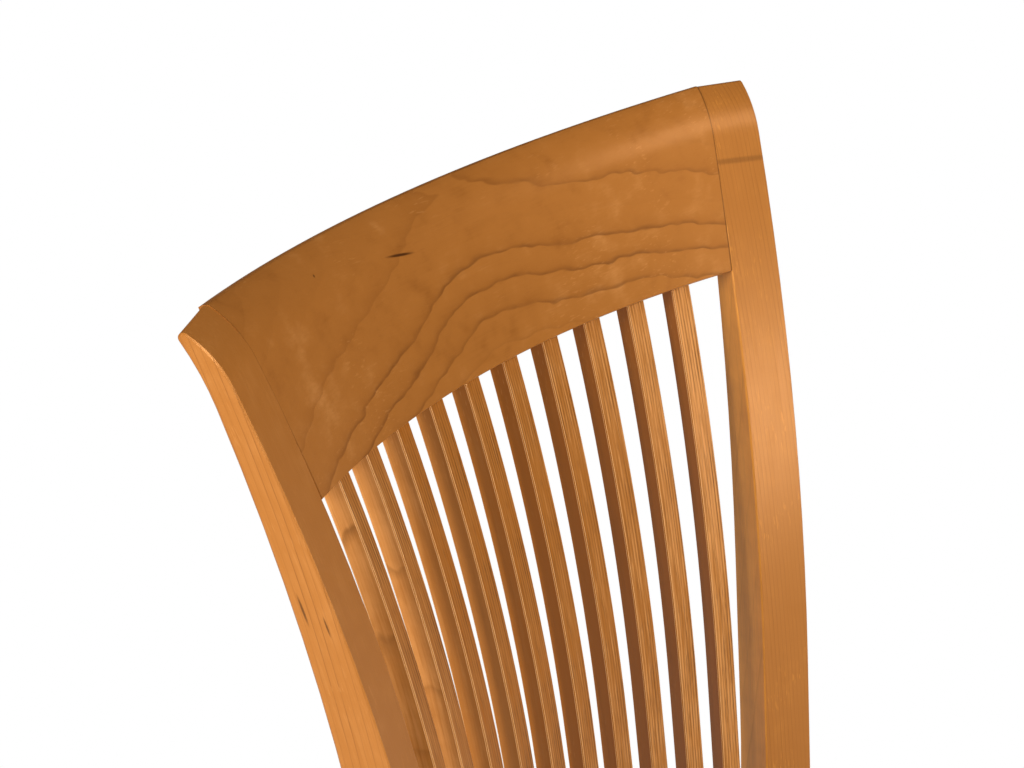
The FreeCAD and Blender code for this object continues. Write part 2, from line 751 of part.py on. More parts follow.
# Seat outline in plan, clear of the posts; the four outer corners are rounded
right_outline = [
    (size("seat_front_half_width"), size("seat_front_y"), "seat_corner_round"),
    (size("seat_rear_half_width"), size("seat_side_end_y"), "seat_side_round"),
    (size("seat_tongue_half_width"), size("seat_notch_y"), None),
    (size("seat_tongue_half_width"), size("seat_rear_y"), None),
]
outline = right_outline + [(-x, y, alias) for x, y, alias in reversed(right_outline)]


def inset_corners(inset):
    # every side moves inwards by the inset, and neighbours meet again at new corners
    sides = []
    for index, (x, y, _) in enumerate(outline):
        next_x, next_y, _ = outline[(index + 1) % len(outline)]
        run = Vector(next_x - x, next_y - y, 0).normalize()
        sides.append((Vector(x, y, 0) + Vector(-run.y, run.x, 0) * inset, run))
    corners = []
    for index, (point, run) in enumerate(sides):
        before, before_run = sides[index - 1]
        gap = point - before
        along = (gap.x * run.y - gap.y * run.x) / (before_run.x * run.y - before_run.y * run.x)
        corners.append(before + before_run * along)
    return corners


def seat_loop(inset):
    # straight sides, and an arc at each rounded corner that tightens with the inset
    corners = inset_corners(inset)
    bends = []
    for index, corner in enumerate(corners):
        alias = outline[index][2]
        if alias is None:
            bends.append((corner, None, corner))
            continue
        radius = size(alias) - inset
        back = (corners[index - 1] - corner).normalize()
        ahead = (corners[(index + 1) % len(corners)] - corner).normalize()
        half = back.getAngle(ahead) / 2
        reach = radius / math.tan(half)
        middle = corner + (back + ahead).normalize() * (radius / math.sin(half) - radius)
        bends.append((corner + back * reach, middle, corner + ahead * reach))
    loop = []
    for index, (start, middle, end) in enumerate(bends):
        if middle is not None:
            loop.append(arc(start[:2], middle[:2], end[:2]))
        loop.append(line(end[:2], bends[(index + 1) % len(bends)][0][:2]))
    return loop


def square_loop(inset):
    return polygon([(corner.x, corner.y) for corner in inset_corners(inset)])


def seat_loft(label, levels, loop=seat_loop):
    body = new_body(label)
    sections = []
    for number, (inset, height) in enumerate(levels, start=1):
        section = sketch_on(body, "XY_Plane", "%s_section_%d" % (label, number))
        section.AttachmentOffset = Placement(Vector(0, 0, height), Rotation())
        draw(section, loop(inset))
        sections.append(section)
    doc.recompute()
    loft(body, sections, ruled=True)
    return body


# Seat: board and crowned foam inside a cover that turns under the board
cover = size("cover_thickness")
board_top = rail_top + cover + size("board_thickness")


def crowned_pad(label, shrink):
    # drawn in at the foot, full at the side, over a soft shoulder, and cut to two crossing curves on top
    low, side, shoulder = rail_top + shrink, size("seat_side_z"), size("seat_shoulder_z") - shrink
    crown = size("seat_crown_z") - shrink
    tuck, inset = size("seat_tuck"), size("seat_shoulder_inset")
    blank = seat_loft(label + "_blank", [
        (shrink + tuck, low),
        (shrink, side),
        (shrink + inset / 3, (side + 2 * shoulder) / 3),
        (shrink + inset, shoulder),
        (shrink + inset * 1.8, crown),
    ])
    axis_z = crown - size("seat_crown_radius")
    crown_y = size("seat_crown_y")
    vault = ("Sizes.seat_crown_radius", "%r" % (2 * REACH))
    across = rod(label + "_across", *vault, (-REACH, crown_y, axis_z), (1, 0, 0))
    along = rod(label + "_along", *vault, (0, crown_y - REACH, axis_z), (0, 1, 0))
    result = doc.addObject("Part::MultiCommon", label)
    result.Shapes = [blank, across, along]
    doc.recompute()
    return result


outer_pad = crowned_pad("outer_pad", 0)
inner_pad = crowned_pad("inner_pad", cover)
return_inset = size("cover_return")
opening_levels = [(return_inset, rail_top - cover), (return_inset, rail_top + 2 * cover)]
opening = seat_loft("return_opening", opening_levels, square_loop)
seat_cover = cut("seat_cover", outer_pad, [inner_pad, opening])
above_board = block("above_board", (-REACH, -REACH, board_top), (REACH, REACH, crest_z))
below_board = block("below_board", (-REACH, -REACH, 0), (REACH, REACH, board_top))
seat_foam = cut("seat_foam", inner_pad, [below_board])
seat_board = cut("seat_board", inner_pad, [above_board])
dust_top = rail_top + cover
dust_levels = [(return_inset + 1, dust_top - size("dust_thickness")), (return_inset + 1, dust_top)]
dust_cover = seat_loft("dust_cover", dust_levels, square_loop)

# Every piece that is kept, checked and written under its own name
kept = [left_post, right_post, crest_rail, lower_rail, left_leg, right_leg]
kept += slats
kept += [front_rail, rear_rail, left_rail, right_rail]
kept += front_blocks + rear_blocks
kept += [foot_glides, crest_dowels, lower_rail_dowels]
kept += [seat_board, seat_foam, seat_cover, dust_cover]

doc.recompute()
for obj in doc.Objects:
    if "Invalid" in obj.State or "Error" in obj.State:
        raise RuntimeError("%s did not build: %s" % (obj.Label, obj.State))
for piece in kept:
    if piece.Shape.isNull() or not piece.Shape.isValid():
        raise RuntimeError("%s has no valid shape" % piece.Label)
os.makedirs("parts", exist_ok=True)
for piece in kept:
    piece.Shape.exportStep("parts/%s.step" % piece.Label)
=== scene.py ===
# %% [markdown]
# # A slat-back side chair in cherry
# The joinery arrives as finished solids, and this lesson dresses them: it gives each stick its own grain,
# upholsters the seat, and sets up the light and the camera. Everything is in metres: X to the right, Y to
# the back, Z up from the floor.

# %% Load the solids
import json
import math
import random

import bmesh
import bpy
from mathutils import Euler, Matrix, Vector

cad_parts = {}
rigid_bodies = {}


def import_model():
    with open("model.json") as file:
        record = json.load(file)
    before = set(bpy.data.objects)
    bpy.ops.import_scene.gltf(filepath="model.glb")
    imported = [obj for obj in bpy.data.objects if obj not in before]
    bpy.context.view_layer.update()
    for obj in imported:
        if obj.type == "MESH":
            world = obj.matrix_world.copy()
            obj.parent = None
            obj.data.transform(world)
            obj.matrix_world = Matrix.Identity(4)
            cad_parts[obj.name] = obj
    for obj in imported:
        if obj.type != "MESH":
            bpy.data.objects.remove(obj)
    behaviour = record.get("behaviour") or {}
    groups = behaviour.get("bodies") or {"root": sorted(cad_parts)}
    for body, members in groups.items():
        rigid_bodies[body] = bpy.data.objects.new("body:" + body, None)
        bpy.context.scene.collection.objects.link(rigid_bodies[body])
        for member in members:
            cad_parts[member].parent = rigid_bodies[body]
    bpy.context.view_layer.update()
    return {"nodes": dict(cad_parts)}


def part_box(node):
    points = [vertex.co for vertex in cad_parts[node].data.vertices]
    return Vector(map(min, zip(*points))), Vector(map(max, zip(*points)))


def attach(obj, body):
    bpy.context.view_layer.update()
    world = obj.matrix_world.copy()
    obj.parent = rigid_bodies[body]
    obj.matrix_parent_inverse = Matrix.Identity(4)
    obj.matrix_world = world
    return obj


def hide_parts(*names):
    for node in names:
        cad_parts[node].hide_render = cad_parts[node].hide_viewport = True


for leftover in list(bpy.data.objects):
    bpy.data.objects.remove(leftover)
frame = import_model()
nodes = frame["nodes"]
scene = bpy.context.scene

# %% [markdown]
# ## Camera
# The picture is taken from the front left, half a metre above the crest, with a longish lens that keeps
# the posts from splaying. The camera looks down, and only the upper back is in view.


# %% Camera at the picture's place
def add_object(name, data):
    made = bpy.data.objects.new(name, data)
    scene.collection.objects.link(made)
    return made


eye = Vector((-0.96822, -0.52549, 1.48550))
look = Vector((0.71228, 0.55426, -0.43063))
lens_mm, sensor_mm = 81.05, 36

camera = add_object("Camera", bpy.data.cameras.new("Camera"))
camera.location = eye
camera.rotation_euler = look.to_track_quat("-Z", "Y").to_euler()
camera.data.lens = lens_mm
camera.data.sensor_width = sensor_mm
scene.camera = camera
print("camera", round(eye.length, 2), "m from the middle of the floor")

# %% [markdown]
# ## Node helpers
# A shader is a small machine of nodes. `fill` gives a node its inputs: a plain value is set on the socket,
# and the output of another node is linked to it. `place` adds a node and fills it, and the short helpers
# below it keep sums readable.


# %% Helpers for sums and patterns
def fill(tree, node, inputs):
    for key, value in inputs.items():
        if isinstance(value, bpy.types.NodeSocket):
            tree.links.new(value, node.inputs[key])
        else:
            node.inputs[key].default_value = value


def place(tree, kind, inputs=None, **settings):
    node = tree.nodes.new(kind)
    for name, value in settings.items():
        setattr(node, name, value)
    fill(tree, node, inputs or {})
    return node


def calc(tree, operation, a, b=0.0, c=0.0):
    return place(tree, "ShaderNodeMath", {0: a, 1: b, 2: c}, operation=operation).outputs[0]


def vector_calc(tree, operation, a, b=(0.0, 0.0, 0.0)):
    result = place(tree, "ShaderNodeVectorMath", {0: a, 1: b}, operation=operation)
    return result.outputs["Value" if operation in ("DOT_PRODUCT", "LENGTH") else "Vector"]


def ramp(tree, value, low, high, start=0.0, end=1.0):
    inputs = {"Value": value, "From Min": low, "From Max": high, "To Min": start, "To Max": end}
    return place(tree, "ShaderNodeMapRange", inputs, interpolation_type="SMOOTHSTEP").outputs[0]


def noise(tree, vector, scale, detail=2.0, roughness=0.5):
    inputs = {"Vector": vector, "Scale": scale, "Detail": detail, "Roughness": roughness}
    return place(tree, "ShaderNodeTexNoise", inputs).outputs[0]


def blend(tree, factor, a, b):
    return place(tree, "ShaderNodeMix", {0: factor, 6: a, 7: b}, data_type="RGBA").outputs[2]


# %% Helpers for groups and materials
def new_group(name, inputs, outputs):
    group = bpy.data.node_groups.new(name, "ShaderNodeTree")
    for label, kind, value in inputs:
        socket = group.interface.new_socket(label, in_out="INPUT", socket_type="NodeSocket" + kind)
        if value is not None:
            socket.default_value = value
    for label, kind in outputs:
        group.interface.new_socket(label, in_out="OUTPUT", socket_type="NodeSocket" + kind)
    print("group", name)
    return group, group.nodes.new("NodeGroupInput").outputs, group.nodes.new("NodeGroupOutput")


def use_group(tree, group, inputs):
    return place(tree, "ShaderNodeGroup", inputs, node_tree=group).outputs


def colour(code):
    # From screen values to amounts of light, by the usual curve for screens.
    def linear(part):
        share = int(part, 16) / 255
        return share / 12.92 if share <= 0.04045 else ((share + 0.055) / 1.055) ** 2.4
    return (linear(code[0:2]), linear(code[2:4]), linear(code[4:6]), 1.0)


def new_material(name):
    material = bpy.data.materials.new(name)
    material.use_nodes = True
    tree = material.node_tree
    return material, tree, tree.nodes["Principled BSDF"]


def object_coords(tree):
    return place(tree, "ShaderNodeTexCoord").outputs["Object"]


def add_bump(tree, skin, height, strength, distance):
    bump = place(tree, "ShaderNodeBump", {"Strength": strength, "Distance": distance, "Height": height})
    fill(tree, skin, {"Normal": bump.outputs[0]})


# %% [markdown]
# ## How wood gets its figure
# A tree grows one layer of wood a year. Each layer ends in a thin, dark line of late wood, and a saw cut
# that slants through the layers shows those lines as figure: close and straight on one face, wide contour
# lines on the next. A picture wrapped round a stick would not turn its corners properly, so the layers are
# worked out in space: every point of a stick asks which layer it lies in.

# %% Growth layers: which year a point of the plank belongs to
growth, g_in, g_out = new_group(
    "Growth layers",
    [("Vector", "Vector", None), ("Layers per metre", "Vector", (300, 80, 5)), ("First year", "Float", 0.0),
     ("Stretch", "Vector", (30, 30, 4)), ("Wander", "Float", 0.5), ("Fine wander", "Float", 0.1),
     ("Swell", "Float", 0.0), ("Swell half width", "Float", 0.09)],
    [("Layer", "Float")])
slow_scale, quick_scale = 1.0, 4.5
depth_in_tree = vector_calc(growth, "DOT_PRODUCT", g_in["Vector"], g_in["Layers per metre"])
years = calc(growth, "ADD", depth_in_tree, g_in["First year"])
along = vector_calc(growth, "MULTIPLY", g_in["Vector"], g_in["Stretch"])
slow = calc(growth, "SUBTRACT", noise(growth, along, slow_scale, 1.0), 0.5)
quick = calc(growth, "SUBTRACT", noise(growth, along, quick_scale, 1.2), 0.5)
wandered = calc(growth, "MULTIPLY_ADD", slow, g_in["Wander"], years)
layer = calc(growth, "MULTIPLY_ADD", quick, g_in["Fine wander"], wandered)
across = place(growth, "ShaderNodeSeparateXYZ", {0: g_in["Vector"]}).outputs["X"]
bulge = ramp(growth, calc(growth, "ABSOLUTE", across), 0.0, g_in["Swell half width"], g_in["Swell"], 0.0)
fill(growth, g_out, {"Layer": calc(growth, "ADD", layer, bulge)})

# %% [markdown]
# Late wood darkens slowly through the summer and ends abruptly when growth stops, so its line rises softly
# on one side and falls off quickly on the other. Some years leave a strong line and others hardly any: a
# random number for each whole year decides.

# %% Late wood: the dark line that ends a layer
late_wood, l_in, l_out = new_group(
    "Late wood",
    [("Layer", "Float", 0.0), ("Line width", "Float", 0.12), ("Faintest", "Float", 0.4)],
    [("Line", "Float"), ("Shade", "Float")])
fall_start, shade_power = 0.94, 3.0
within = calc(late_wood, "FRACT", l_in["Layer"])
year = calc(late_wood, "FLOOR", l_in["Layer"])
strength = place(late_wood, "ShaderNodeTexWhiteNoise", {"W": year}, noise_dimensions="1D").outputs[0]
strength = ramp(late_wood, strength, 0.0, 1.0, l_in["Faintest"], 1.0)
strength = calc(late_wood, "MULTIPLY", strength, ramp(late_wood, within, fall_start, 1.0, 1.0, 0.0))
line = ramp(late_wood, within, calc(late_wood, "SUBTRACT", 1.0, l_in["Line width"]), 1.0)
shade = calc(late_wood, "POWER", within, shade_power)
fill(late_wood, l_out, {"Line": calc(late_wood, "MULTIPLY", line, strength),
                        "Shade": calc(late_wood, "MULTIPLY", shade, strength)})

# %% [markdown]
# Between the lines, cherry is quiet: fine fibres along the length, tiny pores, and a soft mottle that seems
# to move with the light. Noise stretched along the grain gives the fibres, and noise left round gives the
# mottle. Flecks are short pale dashes that gather in patches.

# %% Fibre, pores, mottle and flecks
fibre, f_in, f_out = new_group(
    "Fibre",
    [("Vector", "Vector", None), ("Grain", "Vector", (1, 1, 0.02))],
    [("Streak", "Float"), ("Pore", "Float"), ("Mottle", "Float"), ("Fleck", "Float")])
streaks_per_metre, pores_per_metre, flecks_per_metre = 700.0, 1900.0, 620.0
clouds_per_metre, curls_per_metre, patches_per_metre = 16.0, 75.0, 22.0
fleck_shortening = (0.18, 0.18, 0.18)
drawn = vector_calc(fibre, "MULTIPLY", f_in["Vector"], f_in["Grain"])
streak = noise(fibre, drawn, streaks_per_metre, 3.0, 0.65)
pore = ramp(fibre, noise(fibre, drawn, pores_per_metre, 1.0), 0.62, 0.74)
cloud = noise(fibre, f_in["Vector"], clouds_per_metre, 3.0, 0.55)
curl = noise(fibre, f_in["Vector"], curls_per_metre, 2.0, 0.5)
mottle = calc(fibre, "MULTIPLY_ADD", curl, 0.5, calc(fibre, "MULTIPLY", cloud, 0.5))
short_grain = vector_calc(fibre, "ADD", f_in["Grain"], fleck_shortening)
short = vector_calc(fibre, "MULTIPLY", f_in["Vector"], short_grain)
glint = ramp(fibre, noise(fibre, short, flecks_per_metre, 1.0), 0.6, 0.72)
patch = ramp(fibre, noise(fibre, f_in["Vector"], patches_per_metre, 1.0), 0.5, 0.64)
fleck = calc(fibre, "MULTIPLY", glint, patch)
fill(fibre, f_out, {"Streak": streak, "Pore": pore, "Mottle": mottle, "Fleck": fleck})

# %% [markdown]
# Gum spots are small dark dashes where the tree once healed. Each is a flattened ball of darkness at one
# place in the plank, and it may climb a little along its length.

# %% Gum mark: one small dark dash in the plank
gum, m_in, m_out = new_group(
    "Gum mark",
    [("Vector", "Vector", None), ("Place", "Vector", (0, 0, 0)), ("Reach", "Vector", (0.01, 0.01, 0.001)),
     ("Slant", "Vector", (0, 0, 0)), ("Strength", "Float", 1.0)],
    [("Mark", "Float")])
dark_core = 0.3
apart = vector_calc(gum, "SUBTRACT", m_in["Vector"], m_in["Place"])
climb = vector_calc(gum, "DOT_PRODUCT", apart, m_in["Slant"])
climb = place(gum, "ShaderNodeCombineXYZ", {"Z": climb}).outputs[0]
offset = vector_calc(gum, "DIVIDE", vector_calc(gum, "SUBTRACT", apart, climb), m_in["Reach"])
distance = vector_calc(gum, "LENGTH", offset)
fill(gum, m_out, {"Mark": ramp(gum, distance, dark_core, 1.0, m_in["Strength"], 0.0)})

# %% [markdown]
# The wood group lays these effects over each other as a finisher sees them: a warm ground with lighter and
# darker fibres, then the lines of late wood, which the mottle breaks up, then pores, flecks and gum. Each
# stick uses the same group with its own values, as each was cut from another part of the board.

# %% Solid wood: ground tone
cherry, c_in, c_out = new_group(
    "Solid wood",
    [("Vector", "Vector", None), ("Layer", "Float", 0.0), ("Grain", "Vector", (1, 1, 0.02)),
     ("Heart", "Color", colour("854914")), ("Ground", "Color", colour("ac6a2b")),
     ("Pale", "Color", colour("d3904f")), ("Late", "Color", colour("5a2c0a")), ("Tone", "Float", 0.0),
     ("Line width", "Float", 0.12), ("Line depth", "Float", 0.6), ("Faintest", "Float", 0.4),
     ("Shade depth", "Float", 0.3), ("Fibre depth", "Float", 0.12), ("Mottle depth", "Float", 0.25),
     ("Gum", "Float", 0.0)],
    [("Color", "Color"), ("Roughness", "Float"), ("Height", "Float")])
lines = use_group(cherry, late_wood, {key: c_in[key] for key in ("Layer", "Line width", "Faintest")})
threads = use_group(cherry, fibre, {key: c_in[key] for key in ("Vector", "Grain")})
contrast = 4.0


def shift_tone(tone, pattern, depth):
    off_middle = calc(cherry, "SUBTRACT", pattern, 0.5)
    return calc(cherry, "MULTIPLY_ADD", off_middle, calc(cherry, "MULTIPLY", depth, contrast), tone)


tone = calc(cherry, "ADD", c_in["Tone"], 0.5)
tone = shift_tone(tone, threads["Mottle"], c_in["Mottle depth"])
tone = shift_tone(tone, threads["Streak"], c_in["Fibre depth"])
darker = blend(cherry, ramp(cherry, tone, -0.25, 0.5), c_in["Heart"], c_in["Ground"])
ground = blend(cherry, ramp(cherry, tone, 0.5, 1.25), darker, c_in["Pale"])
print("ground tone from", c_in["Heart"].name, "to", c_in["Pale"].name)

# %% Solid wood: lines, pores, flecks and gum over the ground
pore_share, fleck_share, gum_brown = 0.8, 0.24, colour("3a1a08")
shaded = calc(cherry, "MULTIPLY", lines["Shade"], c_in["Shade depth"])
broken = ramp(cherry, threads["Mottle"], 0.38, 0.6, 0.35, 1.1)
lined = calc(cherry, "MULTIPLY", calc(cherry, "MULTIPLY", lines["Line"], broken), c_in["Line depth"])
pored = calc(cherry, "MULTIPLY", threads["Pore"], calc(cherry, "MULTIPLY", c_in["Fibre depth"], pore_share))
flecked = calc(cherry, "MULTIPLY", threads["Fleck"], fleck_share)
wood = ground
for share, over in ((shaded, c_in["Heart"]), (lined, c_in["Late"]), (pored, c_in["Late"]),
                    (flecked, c_in["Pale"]), (c_in["Gum"], gum_brown)):
    wood = blend(cherry, share, wood, over)
fill(cherry, c_out, {"Color": wood})
print("five layers of colour over the ground")

# %% [markdown]
# The oil leaves a satin that is a little duller on streaks and lines. The pores stay open as tiny pits.

# %% Solid wood: satin and relief
satin, streak_dulls, line_dulls, pore_depth = 0.26, 0.12, 0.08, -0.5
dullness = calc(cherry, "MULTIPLY_ADD", threads["Streak"], streak_dulls, satin)
dullness = calc(cherry, "MULTIPLY_ADD", lines["Line"], line_dulls, dullness)
relief = calc(cherry, "MULTIPLY_ADD", threads["Pore"], pore_depth, threads["Streak"])
fill(cherry, c_out, {"Roughness": dullness, "Height": relief})
print("satin from roughness", satin)

# %% [markdown]
# Sticks that curve are sawn to shape, but the fibres of a slat follow its length closely. To lay grain
# along a bend, this group takes the bend out again: it subtracts the slope and the curve from the depth of
# each point, so that the pattern is drawn on a straight stick.

# %% Straighten: from a bent stick to a straight one
straighten, b_in, b_out = new_group(
    "Straighten",
    [("Vector", "Vector", None), ("Bend start", "Float", 0.0), ("Slope", "Float", 0.16),
     ("Curve", "Float", 0.37)],
    [("Vector", "Vector")])
axes = place(straighten, "ShaderNodeSeparateXYZ", {0: b_in["Vector"]}).outputs
rise = calc(straighten, "MAXIMUM", calc(straighten, "SUBTRACT", axes["Z"], b_in["Bend start"]), 0.0)
bow = calc(straighten, "MULTIPLY", calc(straighten, "MULTIPLY", rise, rise), b_in["Curve"])
lean = calc(straighten, "MULTIPLY", axes["Z"], b_in["Slope"])
level = calc(straighten, "SUBTRACT", calc(straighten, "SUBTRACT", axes["Y"], lean), bow)
unbent = {"X": axes["X"], "Y": level, "Z": axes["Z"]}
straight = place(straighten, "ShaderNodeCombineXYZ", unbent).outputs[0]
fill(straighten, b_out, {"Vector": straight})

# %% [markdown]
# ## One finish for each stick
# A maker chooses the cut of every stick, and `cherry_finish` does the same. It turns the wood's axes to lie
# along the stick, takes out its bend, and asks the groups for colour, roughness and relief. The helpers
# before it add what is special to one stick: gum marks, the dark line where an end meets its neighbour, and
# values that differ between the front and the sides, because a saw shows each face another cut of the
# layers, and because on some sticks a face is painted lighter or darker as light and shade.

# %% Marks and faces of one stick
seam_start, seam_full = -0.0011, -0.0004
front_until, side_from = 0.55, 0.8


def own_place(spot, place_at, turn, bend):
    spot = Euler(turn).to_matrix().inverted() @ (Vector(spot) - place_at)
    if bend:
        spot.y -= bend["Slope"] * spot.z + bend["Curve"] * max(spot.z, 0.0) ** 2
    return spot


def dark_marks(tree, own, gums, seams, *lie):
    marks = 0.0
    for spot, reach, slant, strength in gums:
        inputs = {"Vector": own, "Place": own_place(spot, *lie), "Reach": reach, "Slant": slant,
                  "Strength": strength}
        marks = calc(tree, "MAXIMUM", marks, use_group(tree, gum, inputs)["Mark"])
    for spot, way, strength in seams:
        apart = vector_calc(tree, "SUBTRACT", own, own_place(spot, *lie))
        depth = vector_calc(tree, "DOT_PRODUCT", apart, way)
        marks = calc(tree, "MAXIMUM", marks, ramp(tree, depth, seam_start, seam_full, 0.0, strength))
    return marks


def vary_by_face(tree, wood, turn, faces):
    normal = place(tree, "ShaderNodeTexCoord").outputs["Normal"]
    sideways = vector_calc(tree, "DOT_PRODUCT", normal, Euler(turn).to_matrix() @ Vector((1, 0, 0)))
    on_side = ramp(tree, calc(tree, "ABSOLUTE", sideways), front_until, side_from)
    for label, (front, side) in faces.items():
        fill(tree, wood, {label: ramp(tree, on_side, 0.0, 1.0, front, side)})


# %% A finish for one stick
oil_tint = (1.0, 0.52, 0.22, 1.0)


def cherry_finish(name, place_at, turn=(0, 0, 0), bend=None, growing=None, look=None, gums=(), fade=None,
                  faces=None, seams=(), shine=1.0):
    material, tree, skin = new_material(name)
    lying = {"Vector": object_coords(tree), "Location": place_at, "Rotation": turn}
    own = place(tree, "ShaderNodeMapping", lying, vector_type="TEXTURE").outputs[0]
    if bend:
        own = use_group(tree, straighten, {"Vector": own, **bend})["Vector"]
    layers = use_group(tree, growth, {"Vector": own, **(growing or {})})["Layer"]
    marks = dark_marks(tree, own, gums, seams, place_at, turn, bend)
    inputs = {"Vector": own, "Layer": layers, "Gum": marks, **(look or {})}
    wood = place(tree, "ShaderNodeGroup", inputs, node_tree=cherry)
    if fade:
        direction, *limits = fade
        along = vector_calc(tree, "DOT_PRODUCT", own, direction)
        fill(tree, wood, {"Line depth": ramp(tree, along, *limits)})
    if faces:
        vary_by_face(tree, wood, turn, faces)
    fill(tree, skin, {"Base Color": wood.outputs["Color"], "Roughness": wood.outputs["Roughness"],
                      "Specular IOR Level": shine, "Specular Tint": oil_tint})
    add_bump(tree, skin, wood.outputs["Height"], strength=0.12, distance=0.0004)
    return material


def finish(node_name, material):
    nodes[node_name].data.materials.clear()
    nodes[node_name].data.materials.append(material)


# %% [markdown]
# ## The crest rail
# The crest is sawn from one thick plank whose layers slope down towards the sitter. The hollow front cuts
# through them, so each layer shows as a wavy contour line that climbs from one end and dives again at the
# other. The lines fade out towards the left, two small gum marks sit in the upper left, and a thin dark
# line marks each end, where the crest meets a post.

# %% Crest rail finish
crest_low, crest_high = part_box("crest_rail")
crest_middle = Vector((0.0, 0.2340, 0.9116))
# A gum mark has a place, a reach along each axis, a slant and a strength.
crest_gums = [((-0.054, 0.266, 0.9901), (0.015, 0.012, 0.0011), (-0.194, 0, 0), 0.9),
              ((-0.1297, 0.2621, 1.0034), (0.001, 0.002, 0.0012), (0, 0, 0), 0.7)]
end_facing, end_reach = 0.7, 0.19
crest_ends = []
for sign, strength in ((1, 0.6), (-1, 0.25)):
    cut = [face for face in nodes["crest_rail"].data.polygons
           if face.normal.x * sign > end_facing and face.center.x * sign > end_reach]
    crest_ends.append((cut[0].center.copy(), cut[0].normal.copy(), strength))
# The fade has a direction, where it starts and ends along it, and the depth of the lines at both.
crest_fade = ((1, 0, -2.2), -0.218, -0.165, 0.06, 0.6)
crest_finish = cherry_finish(
    "cherry_crest", crest_middle,
    growing={"Layers per metre": (5.2, 51.6, -83.3), "First year": 593.75, "Stretch": (11, 26, 26),
             "Wander": 0.6, "Fine wander": 0.45, "Swell": 0.75},
    look={"Grain": (0.02, 1, 1), "Line width": 0.22, "Faintest": 0.05, "Shade depth": 0.5,
          "Fibre depth": 0.08, "Mottle depth": 0.38},
    gums=crest_gums, seams=crest_ends, fade=crest_fade)
finish("crest_rail", crest_finish)
print("crest", [round(side, 3) for side in crest_high - crest_low])

# %% [markdown]
# ## Back posts, legs and rails
# The right post is cut so that its layers stand nearly square to the front, which shows fine upright lines.
# The left post is turned a quarter in the board, and its outer side shows the lines instead. Legs and rails
# lie between the two. Each post is turned to meet the crest, so its wood is turned with it.

# %% Post finishes
post_turn = math.radians(24.5)
post_bend = {"Slope": 0.162, "Curve": 0.352}
post_growth = {"right": (330, 60, 9), "left": (14, 230, 14)}
# The sides of the right post get a much lighter tone, and the post a brighter pale colour that shows mostly
# on its sides:
# painted light on its inner face.
post_faces = {"right": {"Line depth": (0.5, 0.15), "Shade depth": (0.2, 0.1), "Tone": (0.04, 0.5)},
              "left": {"Line depth": (0.0, 0.6), "Shade depth": (0.0, 0.2), "Tone": (0.08, 0.12)}}
post_pale_and_light = {"right": "e89a40", "left": "d3904f"}
post_gums = {"right": [((0.222, 0.2165, 0.979), (0.05, 0.02, 0.0024), (-0.06, 0, 0), 0.34)],
             "left": [((-0.2273, 0.1879, 0.868), (0.004, 0.0010, 0.012), (0, 0, 0), 0.8),
                      ((-0.2217, 0.1765, 0.8595), (0.004, 0.0008, 0.008), (0, 0, 0), 0.8)]}
upright_stretch = (22, 22, 3.5)
post_x, post_y, bend_z = 0.195, 0.141, 0.654
both_sides = (("right", 1), ("left", -1))
for side, sign in both_sides:
    post = cherry_finish(
        "cherry_%s_post" % side, Vector((sign * post_x, post_y, bend_z)), (0, 0, -sign * post_turn),
        bend=post_bend,
        growing={"Layers per metre": post_growth[side], "First year": 0.5, "Stretch": upright_stretch,
                 "Wander": 0.5, "Fine wander": 0.15},
        look={"Pale": colour(post_pale_and_light[side]), "Grain": (1, 1, 0.02), "Line width": 0.2,
              "Fibre depth": 0.10, "Mottle depth": 0.15},
        gums=post_gums[side], faces=post_faces[side])
    finish(side + "_back_post", post)
print("posts finished")

# %% Leg and rail finishes
leg_x, leg_y, leg_z = 0.211, -0.27, 0.2
for side, sign in both_sides:
    leg = cherry_finish(
        "cherry_%s_leg" % side, Vector((sign * leg_x, leg_y, leg_z)),
        growing={"Layers per metre": (220, 160 * sign, 5), "Stretch": upright_stretch, "Wander": 1.2,
                 "Fine wander": 0.3},
        look={"Grain": (1, 1, 0.02), "Line width": 0.2, "Line depth": 0.4, "Shade depth": 0.22})
    finish(side + "_front_leg", leg)

lengthways = {"layers": (5, -90, 120), "stretch": (4, 26, 26), "grain": (0.02, 1, 1)}
to_the_back = {"layers": (90, 5, 120), "stretch": (26, 4, 26), "grain": (1, 0.02, 1)}
rails = {"front_seat_rail": (Vector((0.0, 0.05, 0.39)), lengthways),
         "rear_seat_rail": (Vector((0.13, 0.05, 0.39)), lengthways),
         "lower_back_rail": (Vector((0.26, 0.05, 0.39)), lengthways),
         "left_seat_rail": (Vector((0.2, 0.02, 0.39)), to_the_back),
         "right_seat_rail": (Vector((0.2, 0.02, 0.39)), to_the_back)}
for name, (place_at, run) in rails.items():
    rail = cherry_finish(
        "cherry_" + name, place_at,
        growing={"Layers per metre": run["layers"], "Stretch": run["stretch"], "Wander": 1.6,
                 "Fine wander": 0.4},
        look={"Grain": run["grain"], "Line depth": 0.45})
    finish(name, rail)
print("legs and", len(rails), "rails finished")
